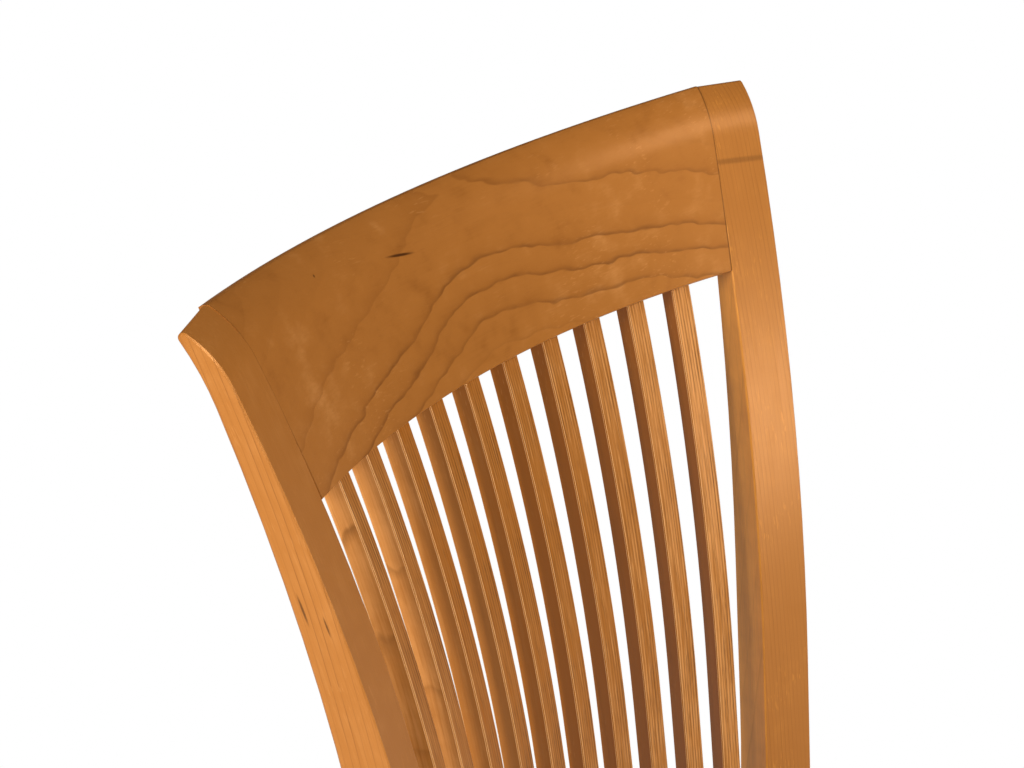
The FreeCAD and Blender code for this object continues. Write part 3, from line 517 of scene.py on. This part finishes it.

# %% [markdown]
# ## Slats
# Ten slats fan round the back. Their layers stand square to the front face, which shows close straight
# lines, while the side faces cut along a layer: quiet on most slats, and with wide flames on the last two.
# The sides of the first five slats are painted dark as shade, those from the sixth slat on are painted
# lighter as lit, and the fronts are painted darker from slat to slat. Each slat has its own place in the
# board, drawn at random with a fixed seed. A second, paler material paints a highlight on the eased edges,
# which the next step makes.

# %% Slat finishes
random.seed(7)
slat_names = sorted(name for name in nodes if name.startswith("back_slat_"))
slat_turn = math.radians(20.9)
slat_bend = {"Slope": 0.162, "Curve": 0.385}
slat_middle_z = 0.657
# Painted light and shade: the sides of the first slats are painted dark as shade, the later sides painted
# lighter as lit,
# and each front is painted a step darker than the one before.
last_shaded_sides, first_flamed = 4, 8
first_front_tone, front_shade_step, side_light_step = 0.45, 0.095, 0.28
# The edge material is paler to paint a highlight on the eased edges of the slats.
slat_edge_highlight = cherry_finish("cherry_slat_edge", Vector((0, 0.2, slat_middle_z)), look={
    "Heart": colour("dc9f5c"), "Ground": colour("e8b278"), "Pale": colour("f2c890"),
    "Grain": (1, 1, 0.015), "Line depth": 0.0, "Shade depth": 0.0, "Fibre depth": 0.03})
for number, name in enumerate(slat_names):
    low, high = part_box(name)
    middle = (low + high) / 2
    share = 1 - 2 * number / (len(slat_names) - 1)
    flamed = number >= first_flamed
    layers = [random.uniform(400, 520)]
    layers += [14, 14] if flamed else [random.uniform(-50, 50), random.uniform(-4, 4)]
    # Flamed slats get sides painted light, as lit; the others a random dark tone of painted shade plus the
    # light step.
    front_tone, side_tone = 0.1, 0.36
    if not flamed:
        front_tone = first_front_tone - front_shade_step * number
        side_tone = random.uniform(-0.75, -0.55) + side_light_step * max(number - last_shaded_sides, 0)
    slat = cherry_finish(
        "cherry_slat_%02d" % (number + 1), Vector((middle.x, middle.y, slat_middle_z)),
        (0, 0, -share * slat_turn), bend=slat_bend,
        growing={"Layers per metre": layers, "Stretch": (34, 34, 16 if flamed else 3), "Wander": 1.1,
                 "Fine wander": 0.1 if flamed else 0.25},
        look={"Heart": colour("a65c08"), "Late": colour("3c1904"), "Grain": (1, 1, 0.035),
              "Mottle depth": 0.18, "Faintest": 0.5},
        faces={"Line width": (0.6, 0.2), "Line depth": (0.9, 0.95 if flamed else 0.25),
               "Shade depth": (0.3, 0.4), "Fibre depth": (0.55, 0.16), "Tone": (front_tone, side_tone)},
        shine=0.5)
    finish(name, slat)
    nodes[name].data.materials.append(slat_edge_highlight)
print(len(slat_names), "slats finished")

# %% [markdown]
# ## Eased edges
# Every edge of hand-finished work is broken with a stroke of sandpaper. A solid's mesh comes in loose
# faces, so a Weld modifier joins them first, and a Bevel of less than a millimetre then turns each sharp
# edge into a thin band that catches the light. On the slats, this band also gets the paler material, a
# painted highlight along the edge. Weighted normals keep the large faces looking flat.

# %% Edges of slats, crest and frame
slat_ease, crest_ease, frame_ease = 0.0006, 0.0009, 0.0005
sharp_from = math.radians(38)


def ease_edges(node_name, width, band_material=-1):
    joined = nodes[node_name].modifiers.new("Joined", "WELD")
    joined.merge_threshold = 0.00001
    eased = nodes[node_name].modifiers.new("Eased", "BEVEL")
    eased.width = width
    eased.segments = 2
    eased.material = band_material
    eased.limit_method = "ANGLE"
    eased.angle_limit = sharp_from
    level = nodes[node_name].modifiers.new("Level", "WEIGHTED_NORMAL")
    level.mode = "FACE_AREA"
    level.weight = 100


for name in nodes:
    if name in slat_names:
        ease_edges(name, slat_ease, band_material=1)
    elif name == "crest_rail":
        ease_edges(name, crest_ease)
    elif name.endswith(("_post", "_leg", "_rail")):
        ease_edges(name, frame_ease)
print("edges eased by up to", round(1000 * crest_ease, 1), "mm")

# %% [markdown]
# ## Seat
# The seat is a plywood board under crowned foam, with a woven cover pulled over the sides and turned under.
# It narrows to the back and steps in between the posts. The outline is a list of corners with their radii:
# each side is moved inwards by the inset, and each corner is rounded with an arc.

# %% Seat outline: straight sides with rounded corners
seat_corners = [(0.236, -0.295, 0.036), (0.181, 0.098, 0.026), (0.140, 0.116, 0.006), (0.140, 0.149, 0.014)]
seat_corners += [(-x, y, r) for x, y, r in reversed(seat_corners)]
least_radius = 0.004


def inset_corners(inset):
    sides = []
    for index, (x, y, _) in enumerate(seat_corners):
        next_x, next_y, _ = seat_corners[(index + 1) % len(seat_corners)]
        run = Vector((next_x, next_y)) - Vector((x, y))
        inward = Vector((-run.y, run.x)).normalized()
        sides.append((Vector((x, y)) + inward * inset, run.normalized(), run.length))
    corners = []
    for index, (point, run, _) in enumerate(sides):
        before, before_run, _ = sides[index - 1]
        gap = point - before
        reach = (gap.x * run.y - gap.y * run.x) / (before_run.x * run.y - before_run.y * run.x)
        corners.append(before + before_run * reach)
    return corners, [length for _, _, length in sides]


def corner_arc(corners, index, inset, per_arc):
    corner = corners[index]
    back = (corners[index - 1] - corner).normalized()
    ahead = (corners[(index + 1) % len(corners)] - corner).normalized()
    turned_in = back.x * ahead.y - back.y * ahead.x > 0
    radius = max(seat_corners[index][2] + (inset if turned_in else -inset), least_radius)
    half = back.angle(ahead) / 2
    centre = corner + (back + ahead).normalized() * (radius / math.sin(half))
    start = corner + back * (radius / math.tan(half)) - centre
    end = corner + ahead * (radius / math.tan(half)) - centre
    steps = [step / (per_arc - 1) for step in range(per_arc)]
    return [centre + start.slerp(end, share).normalized() * radius for share in steps]


def outline(inset, per_arc=7, spacing=0.012):
    corners, lengths = inset_corners(inset)
    arcs = [corner_arc(corners, index, inset, per_arc) for index in range(len(corners))]
    points = []
    for arc, following, length in zip(arcs, arcs[1:] + arcs[:1], lengths):
        points += arc
        steps = max(2, round(length / spacing))
        points += [arc[-1].lerp(following[0], step / steps) for step in range(1, steps)]
    return points


print("seat outline has", len(outline(0.0)), "points")

# %% [markdown]
# Cushion and dust sheet are both made of rings that follow this outline. Each ring is a list of points in
# space, each with its place on the flat cloth, so that the weave runs straight over the seat and down its
# sides.


# %% Helpers for rings
seat_middle = Vector((0.0, -0.08))


def ring_at(points, height, flat=None):
    return [(Vector((*point, height)), uv) for point, uv in zip(points, flat or points)]


def shrunk(points, share):
    return [seat_middle.lerp(point, share) for point in points]


def ring_mesh(name, rings, cap_first, cap_last):
    shape = bmesh.new()
    unfolded = shape.loops.layers.uv.new("Cloth")
    made = [[shape.verts.new(point) for point, _ in ring] for ring in rings]
    flat = {vert: uv for ring, verts in zip(rings, made) for vert, (_, uv) in zip(verts, ring)}
    count = len(made[0])
    for lower, upper in zip(made, made[1:]):
        for index in range(count):
            ahead = (index + 1) % count
            shape.faces.new((lower[index], lower[ahead], upper[ahead], upper[index]))
    for cap, verts in ((cap_first, made[0][::-1]), (cap_last, made[-1])):
        if cap is None:
            continue
        tip = shape.verts.new(cap)
        flat[tip] = cap.xy
        for index in range(count):
            shape.faces.new((verts[index], verts[(index + 1) % count], tip))
    for face in shape.faces:
        face.smooth = True
        for loop in face.loops:
            loop[unfolded].uv = flat[loop.vert]
    mesh = bpy.data.meshes.new(name)
    shape.to_mesh(mesh)
    shape.free()
    return add_object(name, mesh)


print("rings close on", tuple(round(part, 3) for part in seat_middle))

# %% [markdown]
# Cover and foam make one closed shape with a pocket below for the board. The rings start at the foam's
# underside, go out round the board, under it, and up over the crown.

# %% Seat cushion: rings from the pocket, round the edge and over the crown
rail_top, board_top, crown_z = 0.424, 0.4366, 0.4805
cover, pocket_lean, turned_under = 0.0016, 0.003, 0.026
# Each ring has an inset from the outline and a height.
pocket = [(cover, board_top), (cover + pocket_lean, rail_top + cover), (turned_under, rail_top + cover)]
cover_profile = [(turned_under, rail_top), (0.015, rail_top), (0.006, rail_top), (0.0035, 0.4255),
                 (0.0018, 0.430), (0.0008, 0.437), (0.0003, 0.444), (0.0008, 0.450), (0.0022, 0.4555),
                 (0.0045, 0.4605), (0.0080, 0.4650), (0.0120, 0.4685), (0.0165, 0.4710)]
crown_steps, stapled_rings = 16, 4
rings = [ring_at(shrunk(outline(cover), share), board_top, outline(cover)) for share in (0.3, 0.6, 0.85)]
rings += [ring_at(outline(inset), height) for inset, height in pocket]
pinned_rings = len(rings) + stapled_rings

edge_inset, shoulder = cover_profile[-1]
edge_ring, reach = outline(edge_inset), [0.0]
for (inset, height), (next_inset, next_height) in zip(cover_profile[::-1], cover_profile[-2::-1]):
    reach.append(reach[-1] + math.hypot(next_inset - inset, next_height - height))
outward = [(a - b).normalized() for a, b in zip(outline(0.0), edge_ring)]
for (inset, height), pulled in zip(cover_profile, reach[::-1]):
    unrolled = [edge + out * pulled for edge, out in zip(edge_ring, outward)]
    rings.append(ring_at(outline(inset), height, unrolled))
for step in range(1, crown_steps):
    share = 1 - step / crown_steps
    rings.append(ring_at(shrunk(edge_ring, share), shoulder + (crown_z - shoulder) * (1 - share ** 3)))
underside_tip, crown_tip = Vector((*seat_middle, board_top)), Vector((*seat_middle, crown_z))
cushion = ring_mesh("seat_cushion", rings, underside_tip, crown_tip)
print("cushion", len(cushion.data.vertices), "points in", len(rings), "rings")

# %% [markdown]
# The cloth is held where it is stapled, under the board, and air pressure stands for the springy foam. It
# swells for twenty frames, and each point may move only a few millimetres, so the seat keeps its size.

# %% Puff the cushion with a cloth simulation
most_swell, settle_frames = 0.004, 20
ring_size = len(rings[0])
held = cushion.vertex_groups.new(name="stapled")
held.add(list(range(pinned_rings * ring_size)) + [len(rings) * ring_size], 1.0, "REPLACE")
before = [vert.co.copy() for vert in cushion.data.vertices]
cloth = cushion.modifiers.new("Foam", "CLOTH")
cloth.settings.vertex_group_mass = "stapled"
cloth.settings.use_pressure = True
cloth.settings.uniform_pressure_force = 4.0
cloth.settings.effector_weights.gravity = 0.0
cloth.settings.tension_stiffness = 40
cloth.settings.bending_stiffness = 2.0
cloth.collision_settings.use_collision = False
for step in range(1, settle_frames + 1):
    scene.frame_set(step)
settled = cushion.evaluated_get(bpy.context.evaluated_depsgraph_get()).to_mesh()
moved = [vert.co - start for vert, start in zip(settled.vertices, before)]
cushion.modifiers.remove(cloth)
for vert, start, shift in zip(cushion.data.vertices, before, moved):
    vert.co = start + shift.normalized() * min(shift.length, most_swell) if shift.length > 0 else start
scene.frame_set(1)
furthest = max(shift.length for shift in moved)
print("cushion moved by up to", round(1000 * furthest, 1), "mm before the cap")

# %% [markdown]
# The cover is a plain weave in oatmeal: one thread over, one under, in both directions. Two sine waves make
# the crossings, and stretched noise makes slubs, the thicker stretches of a thread. Where the threads dip
# between the crossings, a painted shade darkens the cloth. The pattern reads the cushion's own flat cloth
# coordinates.

# %% Plain weave
weave, w_in, w_out = new_group(
    "Plain weave",
    [("Vector", "Vector", None), ("Threads per metre", "Float", 700.0)],
    [("Height", "Float"), ("Slub", "Float")])
scaled = {0: w_in["Vector"], "Scale": w_in["Threads per metre"]}
thread = place(weave, "ShaderNodeVectorMath", scaled, operation="SCALE").outputs["Vector"]
thread_axes = place(weave, "ShaderNodeSeparateXYZ", {0: thread}).outputs
warp = calc(weave, "SINE", calc(weave, "MULTIPLY", thread_axes["X"], math.pi))
weft = calc(weave, "SINE", calc(weave, "MULTIPLY", thread_axes["Y"], math.pi))
over = calc(weave, "MULTIPLY", warp, weft)
fine, long = 900, 60
slub = noise(weave, vector_calc(weave, "MULTIPLY", w_in["Vector"], (fine, long, 1)), 1.0, 2.0)
slub_across = noise(weave, vector_calc(weave, "MULTIPLY", w_in["Vector"], (long, fine, 1)), 1.0, 2.0)
fill(weave, w_out, {"Height": calc(weave, "ABSOLUTE", over),
                    "Slub": calc(weave, "MAXIMUM", slub, slub_across)})

# %% Woven cover
threads_per_metre = 620.0
cloth_finish, tree, skin = new_material("oatmeal_cloth")
flat = place(tree, "ShaderNodeUVMap", uv_map="Cloth").outputs[0]
threads = use_group(tree, weave, {"Vector": flat, "Threads per metre": threads_per_metre})
dyed_and_shaded = blend(tree, ramp(tree, threads["Slub"], 0.4, 0.75), colour("a2937c"), colour("d8ccb6"))
# Painted shade: the cloth is darker where the threads dip between the crossings.
dyed_and_shaded = blend(tree, ramp(tree, threads["Height"], 0.0, 0.5, 0.55, 0.0), dyed_and_shaded, colour("6d604d"))
fill(tree, skin, {"Base Color": dyed_and_shaded, "Roughness": 0.9, "Sheen Weight": 0.25})
add_bump(tree, skin, threads["Height"], strength=0.6, distance=0.0005)
cushion.data.materials.append(cloth_finish)
soft = cushion.modifiers.new("Soft", "SUBSURF")
soft.levels = soft.render_levels = 1
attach(cushion, "root")
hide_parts("seat_cover", "seat_foam")
print("cover woven at", threads_per_metre, "threads a metre")

# %% [markdown]
# ## Inside the seat frame
# Corner blocks and dowels are plain pale hardwood without any finish, and the board is birch plywood, whose
# thin layers lie flat. All three use the wood group again with other colours, so the same grain reads as
# another species.

# %% Blocks, dowels and board
birch = {"Heart": colour("b08a58"), "Ground": colour("d2b27e"), "Pale": colour("e4cda0"),
         "Late": colour("8d6a3e")}
pale_wood = cherry_finish(
    "pale_hardwood", Vector((0.0, 0.0, 0.4)),
    growing={"Layers per metre": (40, 60, 150), "Stretch": (12, 12, 30), "Wander": 1.0},
    look={**birch, "Grain": (0.05, 0.05, 1), "Line depth": 0.35, "Shade depth": 0.2})
plywood = cherry_finish(
    "birch_plywood", Vector((0.0, 0.0, 0.4256)),
    growing={"Layers per metre": (2, 1, 640), "Stretch": (6, 6, 2), "Wander": 0.3},
    look={**birch, "Grain": (1, 0.03, 1), "Line width": 0.4, "Line depth": 0.5})
for name in nodes:
    if name.endswith(("_block", "_dowels")):
        finish(name, pale_wood)
finish("seat_board", plywood)
print("blocks, dowels and board finished")

# %% [markdown]
# A glide under each leg is moulded in brown nylon. The floor scuffs it, so noise that is stretched one way
# lightens it, dulls it and roughens it in fine scratches.

# %% Glides
scuffs_per_metre, scuff_stretch = 900.0, (1, 0.15, 1)
nylon, tree, skin = new_material("brown_nylon")
dragged = vector_calc(tree, "MULTIPLY", object_coords(tree), scuff_stretch)
scuffs = noise(tree, dragged, scuffs_per_metre, 3.0)
worn = blend(tree, ramp(tree, scuffs, 0.45, 0.75), colour("3a2a1e"), colour("5d4a3a"))
fill(tree, skin, {"Base Color": worn, "Roughness": ramp(tree, scuffs, 0.3, 0.7, 0.4, 0.6)})
add_bump(tree, skin, scuffs, strength=0.2, distance=0.0003)
finish("foot_glides", nylon)
print("glides finished")

# %% [markdown]
# ## Dust sheet
# A thin black felted cloth closes the seat from below, inside the turned edge of the cover. It is stretched
# across the board and sags by two millimetres in the middle. Rings of points shrink from the outline to one
# tip, and each ring lies a little lower.

# %% Dust sheet with a slight sag
sheet_inset, sheet_z, sag, felt_thickness = 0.027, 0.4252, 0.0022, 0.0004
sheet_steps = 15
edge = outline(sheet_inset)
rings = []
for step in range(sheet_steps):
    share = 1 - step / sheet_steps
    rings.append(ring_at(shrunk(edge, share), sheet_z - sag * (1 - share ** 2), edge))
dust_sheet = ring_mesh("dust_sheet", rings, None, Vector((*seat_middle, sheet_z - sag)))
thickness = dust_sheet.modifiers.new("Felt", "SOLIDIFY")
thickness.thickness = felt_thickness

# %% [markdown]
# Felt of this kind is bonded between hot rollers that press a grid of dots into it. A texture of cells that
# are hardly shifted gives the dots, and fine noise gives the hairs between them.

# %% Black felt
hairs_per_metre, dots_per_metre = 1400.0, 420.0
felt, tree, skin = new_material("black_felt")
coords = object_coords(tree)
hairs = noise(tree, coords, hairs_per_metre, 4.0, 0.7)
grid = {"Vector": coords, "Scale": dots_per_metre, "Randomness": 0.2}
dots = place(tree, "ShaderNodeTexVoronoi", grid).outputs["Distance"]
pressed = ramp(tree, dots, 0.1, 0.35)
haired = blend(tree, ramp(tree, hairs, 0.35, 0.7), colour("141416"), colour("38383c"))
fill(tree, skin, {"Base Color": blend(tree, pressed, colour("0d0d0f"), haired), "Roughness": 0.95})
add_bump(tree, skin, pressed, strength=0.5, distance=0.0003)
dust_sheet.data.materials.append(felt)
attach(dust_sheet, "root")
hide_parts("dust_cover")
print("felt with", dots_per_metre, "dots a metre")

# %% [markdown]
# ## Staples and screws
# Small fixings repeat along a line or sit at a few points, which is work for Geometry Nodes. Each tree
# takes a path or a set of points and sets a small shape at each place. It ends by making the copies real
# and giving them a material. The result is then frozen to a plain mesh, so that nothing depends on the
# modifier any more.


# %% Helpers for geometry trees
def start_tree(name, inputs):
    tree = bpy.data.node_groups.new(name, "GeometryNodeTree")
    for label, kind in inputs:
        tree.interface.new_socket(label, in_out="INPUT", socket_type="NodeSocket" + kind)
    tree.interface.new_socket("Geometry", in_out="OUTPUT", socket_type="NodeSocketGeometry")
    return tree, tree.nodes.new("NodeGroupInput").outputs


def end_tree(tree, points, shape, rotation, material):
    copied = {"Points": points, "Instance": shape, "Rotation": rotation}
    copies = place(tree, "GeometryNodeInstanceOnPoints", copied).outputs[0]
    real = place(tree, "GeometryNodeRealizeInstances", {0: copies}).outputs[0]
    dressed = place(tree, "GeometryNodeSetMaterial", {"Geometry": real, "Material": material}).outputs[0]
    place(tree, "NodeGroupOutput", {0: dressed})


def aim(tree, direction, axis, least, most, seed, **space):
    aligned = place(tree, "FunctionNodeAlignRotationToVector", {"Vector": direction}, axis=axis).outputs[0]
    limits = {"Min": (0, 0, least), "Max": (0, 0, most), "Seed": seed}
    askew = place(tree, "FunctionNodeRandomValue", limits, data_type="FLOAT_VECTOR").outputs[0]
    turned = {"Rotation": aligned, "Rotate By": askew}
    return place(tree, "FunctionNodeRotateRotation", turned, **space).outputs[0]


def grow(name, start_mesh, tree, values):
    piece = add_object(name, start_mesh)
    growing = piece.modifiers.new(tree.name, "NODES")
    growing.node_group = tree
    labels = {item.name: item.identifier for item in tree.interface.items_tree if item.in_out == "INPUT"}
    for label, value in values.items():
        growing[labels[label]] = value
    made = bpy.data.meshes.new_from_object(piece.evaluated_get(bpy.context.evaluated_depsgraph_get()))
    piece.modifiers.remove(growing)
    made.name = name
    piece.data = made
    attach(piece, "root")
    print(name, len(made.polygons), "faces")


# %% [markdown]
# Staples and screws are zinc-plated steel. Zinc sets in small crystals, so noise varies both its grey and
# its polish.

# %% Zinc-plated steel
crystals_per_metre = 800.0
steel, tree, skin = new_material("zinc_steel")
spangle = noise(tree, object_coords(tree), crystals_per_metre, 3.0)
fill(tree, skin, {"Base Color": blend(tree, spangle, colour("8f9296"), colour("c9ccd0")),
                  "Roughness": ramp(tree, spangle, 0.3, 0.7, 0.28, 0.45), "Metallic": 1.0})
print("steel with", crystals_per_metre, "crystals a metre")

# %% [markdown]
# A staple's crown is a short wire that dips in the middle, where it presses on the cloth. The tree walks
# along the row, turns each staple to the row's direction, and sets it a little askew, as a staple gun held
# by hand does.

# %% Staples along the edge of the dust sheet
staple_dip, most_askew = 0.0006, 0.12
staples, s_in = start_tree("Staples along a line", [
    ("Path", "Geometry"), ("Spacing", "Float"), ("Crown", "Float"), ("Wire radius", "Float"),
    ("Steel", "Material")])
row = place(staples, "GeometryNodeMeshToCurve", {"Mesh": s_in["Path"]}).outputs[0]
stepped = {"Curve": row, "Length": s_in["Spacing"]}
spaced = place(staples, "GeometryNodeResampleCurve", stepped, mode="LENGTH").outputs[0]
half = calc(staples, "MULTIPLY", s_in["Crown"], 0.5)
other_half = calc(staples, "MULTIPLY", half, -1.0)
bent = {"Resolution": 8}
for label, x, z in (("Start", other_half, staple_dip), ("Middle", 0.0, -staple_dip),
                    ("End", half, staple_dip)):
    bent[label] = place(staples, "ShaderNodeCombineXYZ", {"X": x, "Z": z}).outputs[0]
wire = place(staples, "GeometryNodeCurveQuadraticBezier", bent).outputs[0]
round_wire = {"Resolution": 6, "Radius": s_in["Wire radius"]}
section = place(staples, "GeometryNodeCurvePrimitiveCircle", round_wire).outputs[0]
swept = {"Curve": wire, "Profile Curve": section, "Fill Caps": True}
staple = place(staples, "GeometryNodeCurveToMesh", swept).outputs[0]
tangent = place(staples, "GeometryNodeInputTangent").outputs[0]
turned = aim(staples, tangent, "X", -most_askew, most_askew, seed=3)
end_tree(staples, spaced, staple, turned, s_in["Steel"])

row_inset, row_z = 0.033, 0.4244
row_points = [point for point, _ in ring_at(outline(row_inset), row_z)]
row_mesh = bpy.data.meshes.new("staple_row")
row_mesh.from_pydata(row_points, [(i, (i + 1) % len(row_points)) for i in range(len(row_points))], [])
grow("sheet_staples", row_mesh, staples,
     {"Spacing": 0.032, "Crown": 0.010, "Wire radius": 0.0003, "Steel": steel})

# %% [markdown]
# A screw head is a low dome with a cross recess. Rings of points rise to the middle, and those that lie in
# the cross are pushed down. A short shank below keeps the head from floating.


# %% Screw head: a low dome with a cross recess
def screw_head(radius, height, slot, segments=32):
    recess_reach, recess_depth, shank = 0.6, 0.45 * height, 0.0015
    shape = bmesh.new()
    rows = []
    for share in (0.12, 0.26, 0.4, 0.54, 0.7, 0.88, 1.0):
        row = []
        for step in range(segments):
            angle = 2 * math.pi * step / segments
            x, y = share * radius * math.cos(angle), share * radius * math.sin(angle)
            recessed = share < recess_reach and min(abs(x), abs(y)) < slot
            dome = height * (1 - share ** 2.4)
            row.append(shape.verts.new((x, y, dome - (recess_depth if recessed else 0.0))))
        rows.append(row)
    rows.append([shape.verts.new((vert.co.x, vert.co.y, -shank)) for vert in rows[-1]])
    shape.faces.new(rows[0])
    shape.faces.new(rows[-1][::-1])
    for inner, outer in zip(rows, rows[1:]):
        for step in range(segments):
            ahead = (step + 1) % segments
            shape.faces.new((inner[step], outer[step], outer[ahead], inner[ahead]))
    mesh = bpy.data.meshes.new("screw_head")
    shape.to_mesh(mesh)
    shape.free()
    return add_object("screw_head", mesh)


head_shape = screw_head(radius=0.0042, height=0.0022, slot=0.0006)
print("screw head", len(head_shape.data.polygons), "faces")

# %% [markdown]
# Two screws go through each corner block into the rails, from the block's long face, and one goes up
# through each block into the seat. Only their heads are seen, so only these are made. The long face is
# found on the solid itself: it looks into the seat frame.

# %% Places of the screws
frame_middle = Vector((0, -0.06, 0))
screw_spread, block_underside, inner_facing = 0.018, 0.394, 0.75
upward_places = ((0.168, -0.23), (-0.168, -0.23), (0.11, 0.109), (-0.11, 0.109))


def block_face(name):
    low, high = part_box(name)
    inward = frame_middle - (low + high) / 2
    inward.z = 0
    inward.normalize()
    seen = [face for face in nodes[name].data.polygons if face.normal.dot(inward) > inner_facing]
    area = sum(face.area for face in seen)
    at = sum((face.center * face.area for face in seen), Vector()) / area
    return at, sum((face.normal * face.area for face in seen), Vector()).normalized()


screw_places = [((x, y, block_underside), Vector((0, 0, -1))) for x, y in upward_places]
for name in sorted(nodes):
    if name.endswith("_corner_block"):
        at, facing = block_face(name)
        apart = facing.cross(Vector((0, 0, 1))) * screw_spread
        screw_places += [(at + apart, facing), (at - apart, facing)]
print(len(screw_places), "screws")

# %% Screws at their places
most_spin = 1.5
screws, s_in = start_tree("Screws at points", [
    ("Points", "Geometry"), ("Head", "Object"), ("Steel", "Material")])
head = place(screws, "GeometryNodeObjectInfo", {"Object": s_in["Head"]}).outputs["Geometry"]
way = place(screws, "GeometryNodeInputNamedAttribute", {"Name": "facing"}, data_type="FLOAT_VECTOR")
spun = aim(screws, way.outputs[0], "Z", 0, most_spin, seed=5, rotation_space="LOCAL")
end_tree(screws, s_in["Points"], head, spun, s_in["Steel"])

point_mesh = bpy.data.meshes.new("screw_points")
point_mesh.from_pydata([at for at, _ in screw_places], [], [])
facing_values = point_mesh.attributes.new("facing", "FLOAT_VECTOR", "POINT")
for item, (_, facing) in zip(facing_values.data, screw_places):
    item.vector = facing
grow("frame_screws", point_mesh, screws, {"Head": head_shape, "Steel": steel})
bpy.data.objects.remove(head_shape)

# %% [markdown]
# ## Studio
# The chair stands on a pale floor that runs out to white, like a sheet of background paper. The white is
# emitted light that is full for the camera alone and faint in reflections, so it doesn't veil the wood.

# %% Floor
floor_half, white_start, white_full, white_in_reflections = 9, 0.45, 0.95, 0.04
floor_mesh = bpy.data.meshes.new("floor")
floor_corners = [(x * floor_half, y * floor_half, 0) for x, y in ((-1, -1), (1, -1), (1, 1), (-1, 1))]
floor_mesh.from_pydata(floor_corners, [], [(0, 1, 2, 3)])
floor = add_object("floor", floor_mesh)
paper, tree, skin = new_material("floor_paper")
fill(tree, skin, {"Base Color": colour("e6e4e0"), "Roughness": 0.9})
far = ramp(tree, vector_calc(tree, "LENGTH", object_coords(tree)), white_start, white_full)
path = place(tree, "ShaderNodeLightPath").outputs
mirrored = calc(tree, "MULTIPLY", path["Is Glossy Ray"], white_in_reflections)
seen = calc(tree, "MAXIMUM", path["Is Camera Ray"], mirrored)
white = place(tree, "ShaderNodeEmission", {"Color": (1, 1, 1, 1), "Strength": 1.0}).outputs[0]
whitened = calc(tree, "MULTIPLY", far, seen)
spread = place(tree, "ShaderNodeMixShader", {0: whitened, 1: skin.outputs[0], 2: white})
fill(tree, tree.nodes["Material Output"], {"Surface": spread.outputs[0]})
floor_mesh.materials.append(paper)
print("floor", 2 * floor_half, "m wide")

# %% [markdown]
# The room is white where the camera sees it, dim as a fill for the shadows, and almost black in
# reflections. A room that was white for every ray would flatten the wood and wash out its colour.

# %% Room
fill_strength, reflected_strength = 0.25, 0.02
world = bpy.data.worlds.new("room")
scene.world = world
world.use_nodes = True
tree = world.node_tree
path = place(tree, "ShaderNodeLightPath").outputs
seen = calc(tree, "MAXIMUM", path["Is Camera Ray"], path["Is Transmission Ray"])
dim = ramp(tree, path["Is Glossy Ray"], 0.0, 1.0, fill_strength, reflected_strength)
strength = calc(tree, "MAXIMUM", dim, seen)
fill(tree, tree.nodes["Background"], {"Color": (1, 1, 1, 1), "Strength": strength})
print("room fills with", fill_strength)

# %% [markdown]
# Four soft lamps light the chair. The strongest stands on the left and lights the outer side of the left
# post and the sides of the slats. One behind the camera and above it models the crest. Two small ones
# further right lift the fronts of the slats and give the right post its sheen.


# %% Lamps
def softbox(name, at, aim_at, width, watts):
    lamp = bpy.data.lights.new(name, "AREA")
    lamp.shape = "RECTANGLE"
    lamp.size = lamp.size_y = width
    lamp.energy = watts
    stand = add_object(name, lamp)
    stand.location = at
    stand.rotation_euler = (Vector(aim_at) - Vector(at)).to_track_quat("-Z", "Y").to_euler()


chair_back = (0, 0.15, 0.85)
softbox("left_softbox", (-2.24, 0.43, 1.67), chair_back, 0.9, 49)
softbox("camera_softbox", (-1.04, -1.65, 2.05), chair_back, 0.9, 28)
softbox("front_softbox", (0.40, -2.30, 0.90), chair_back, 0.55, 14)
softbox("front_high_softbox", (0.80, -1.56, 2.33), chair_back, 0.5, 6)
scene.view_settings.view_transform = "Standard"
print("studio lit")
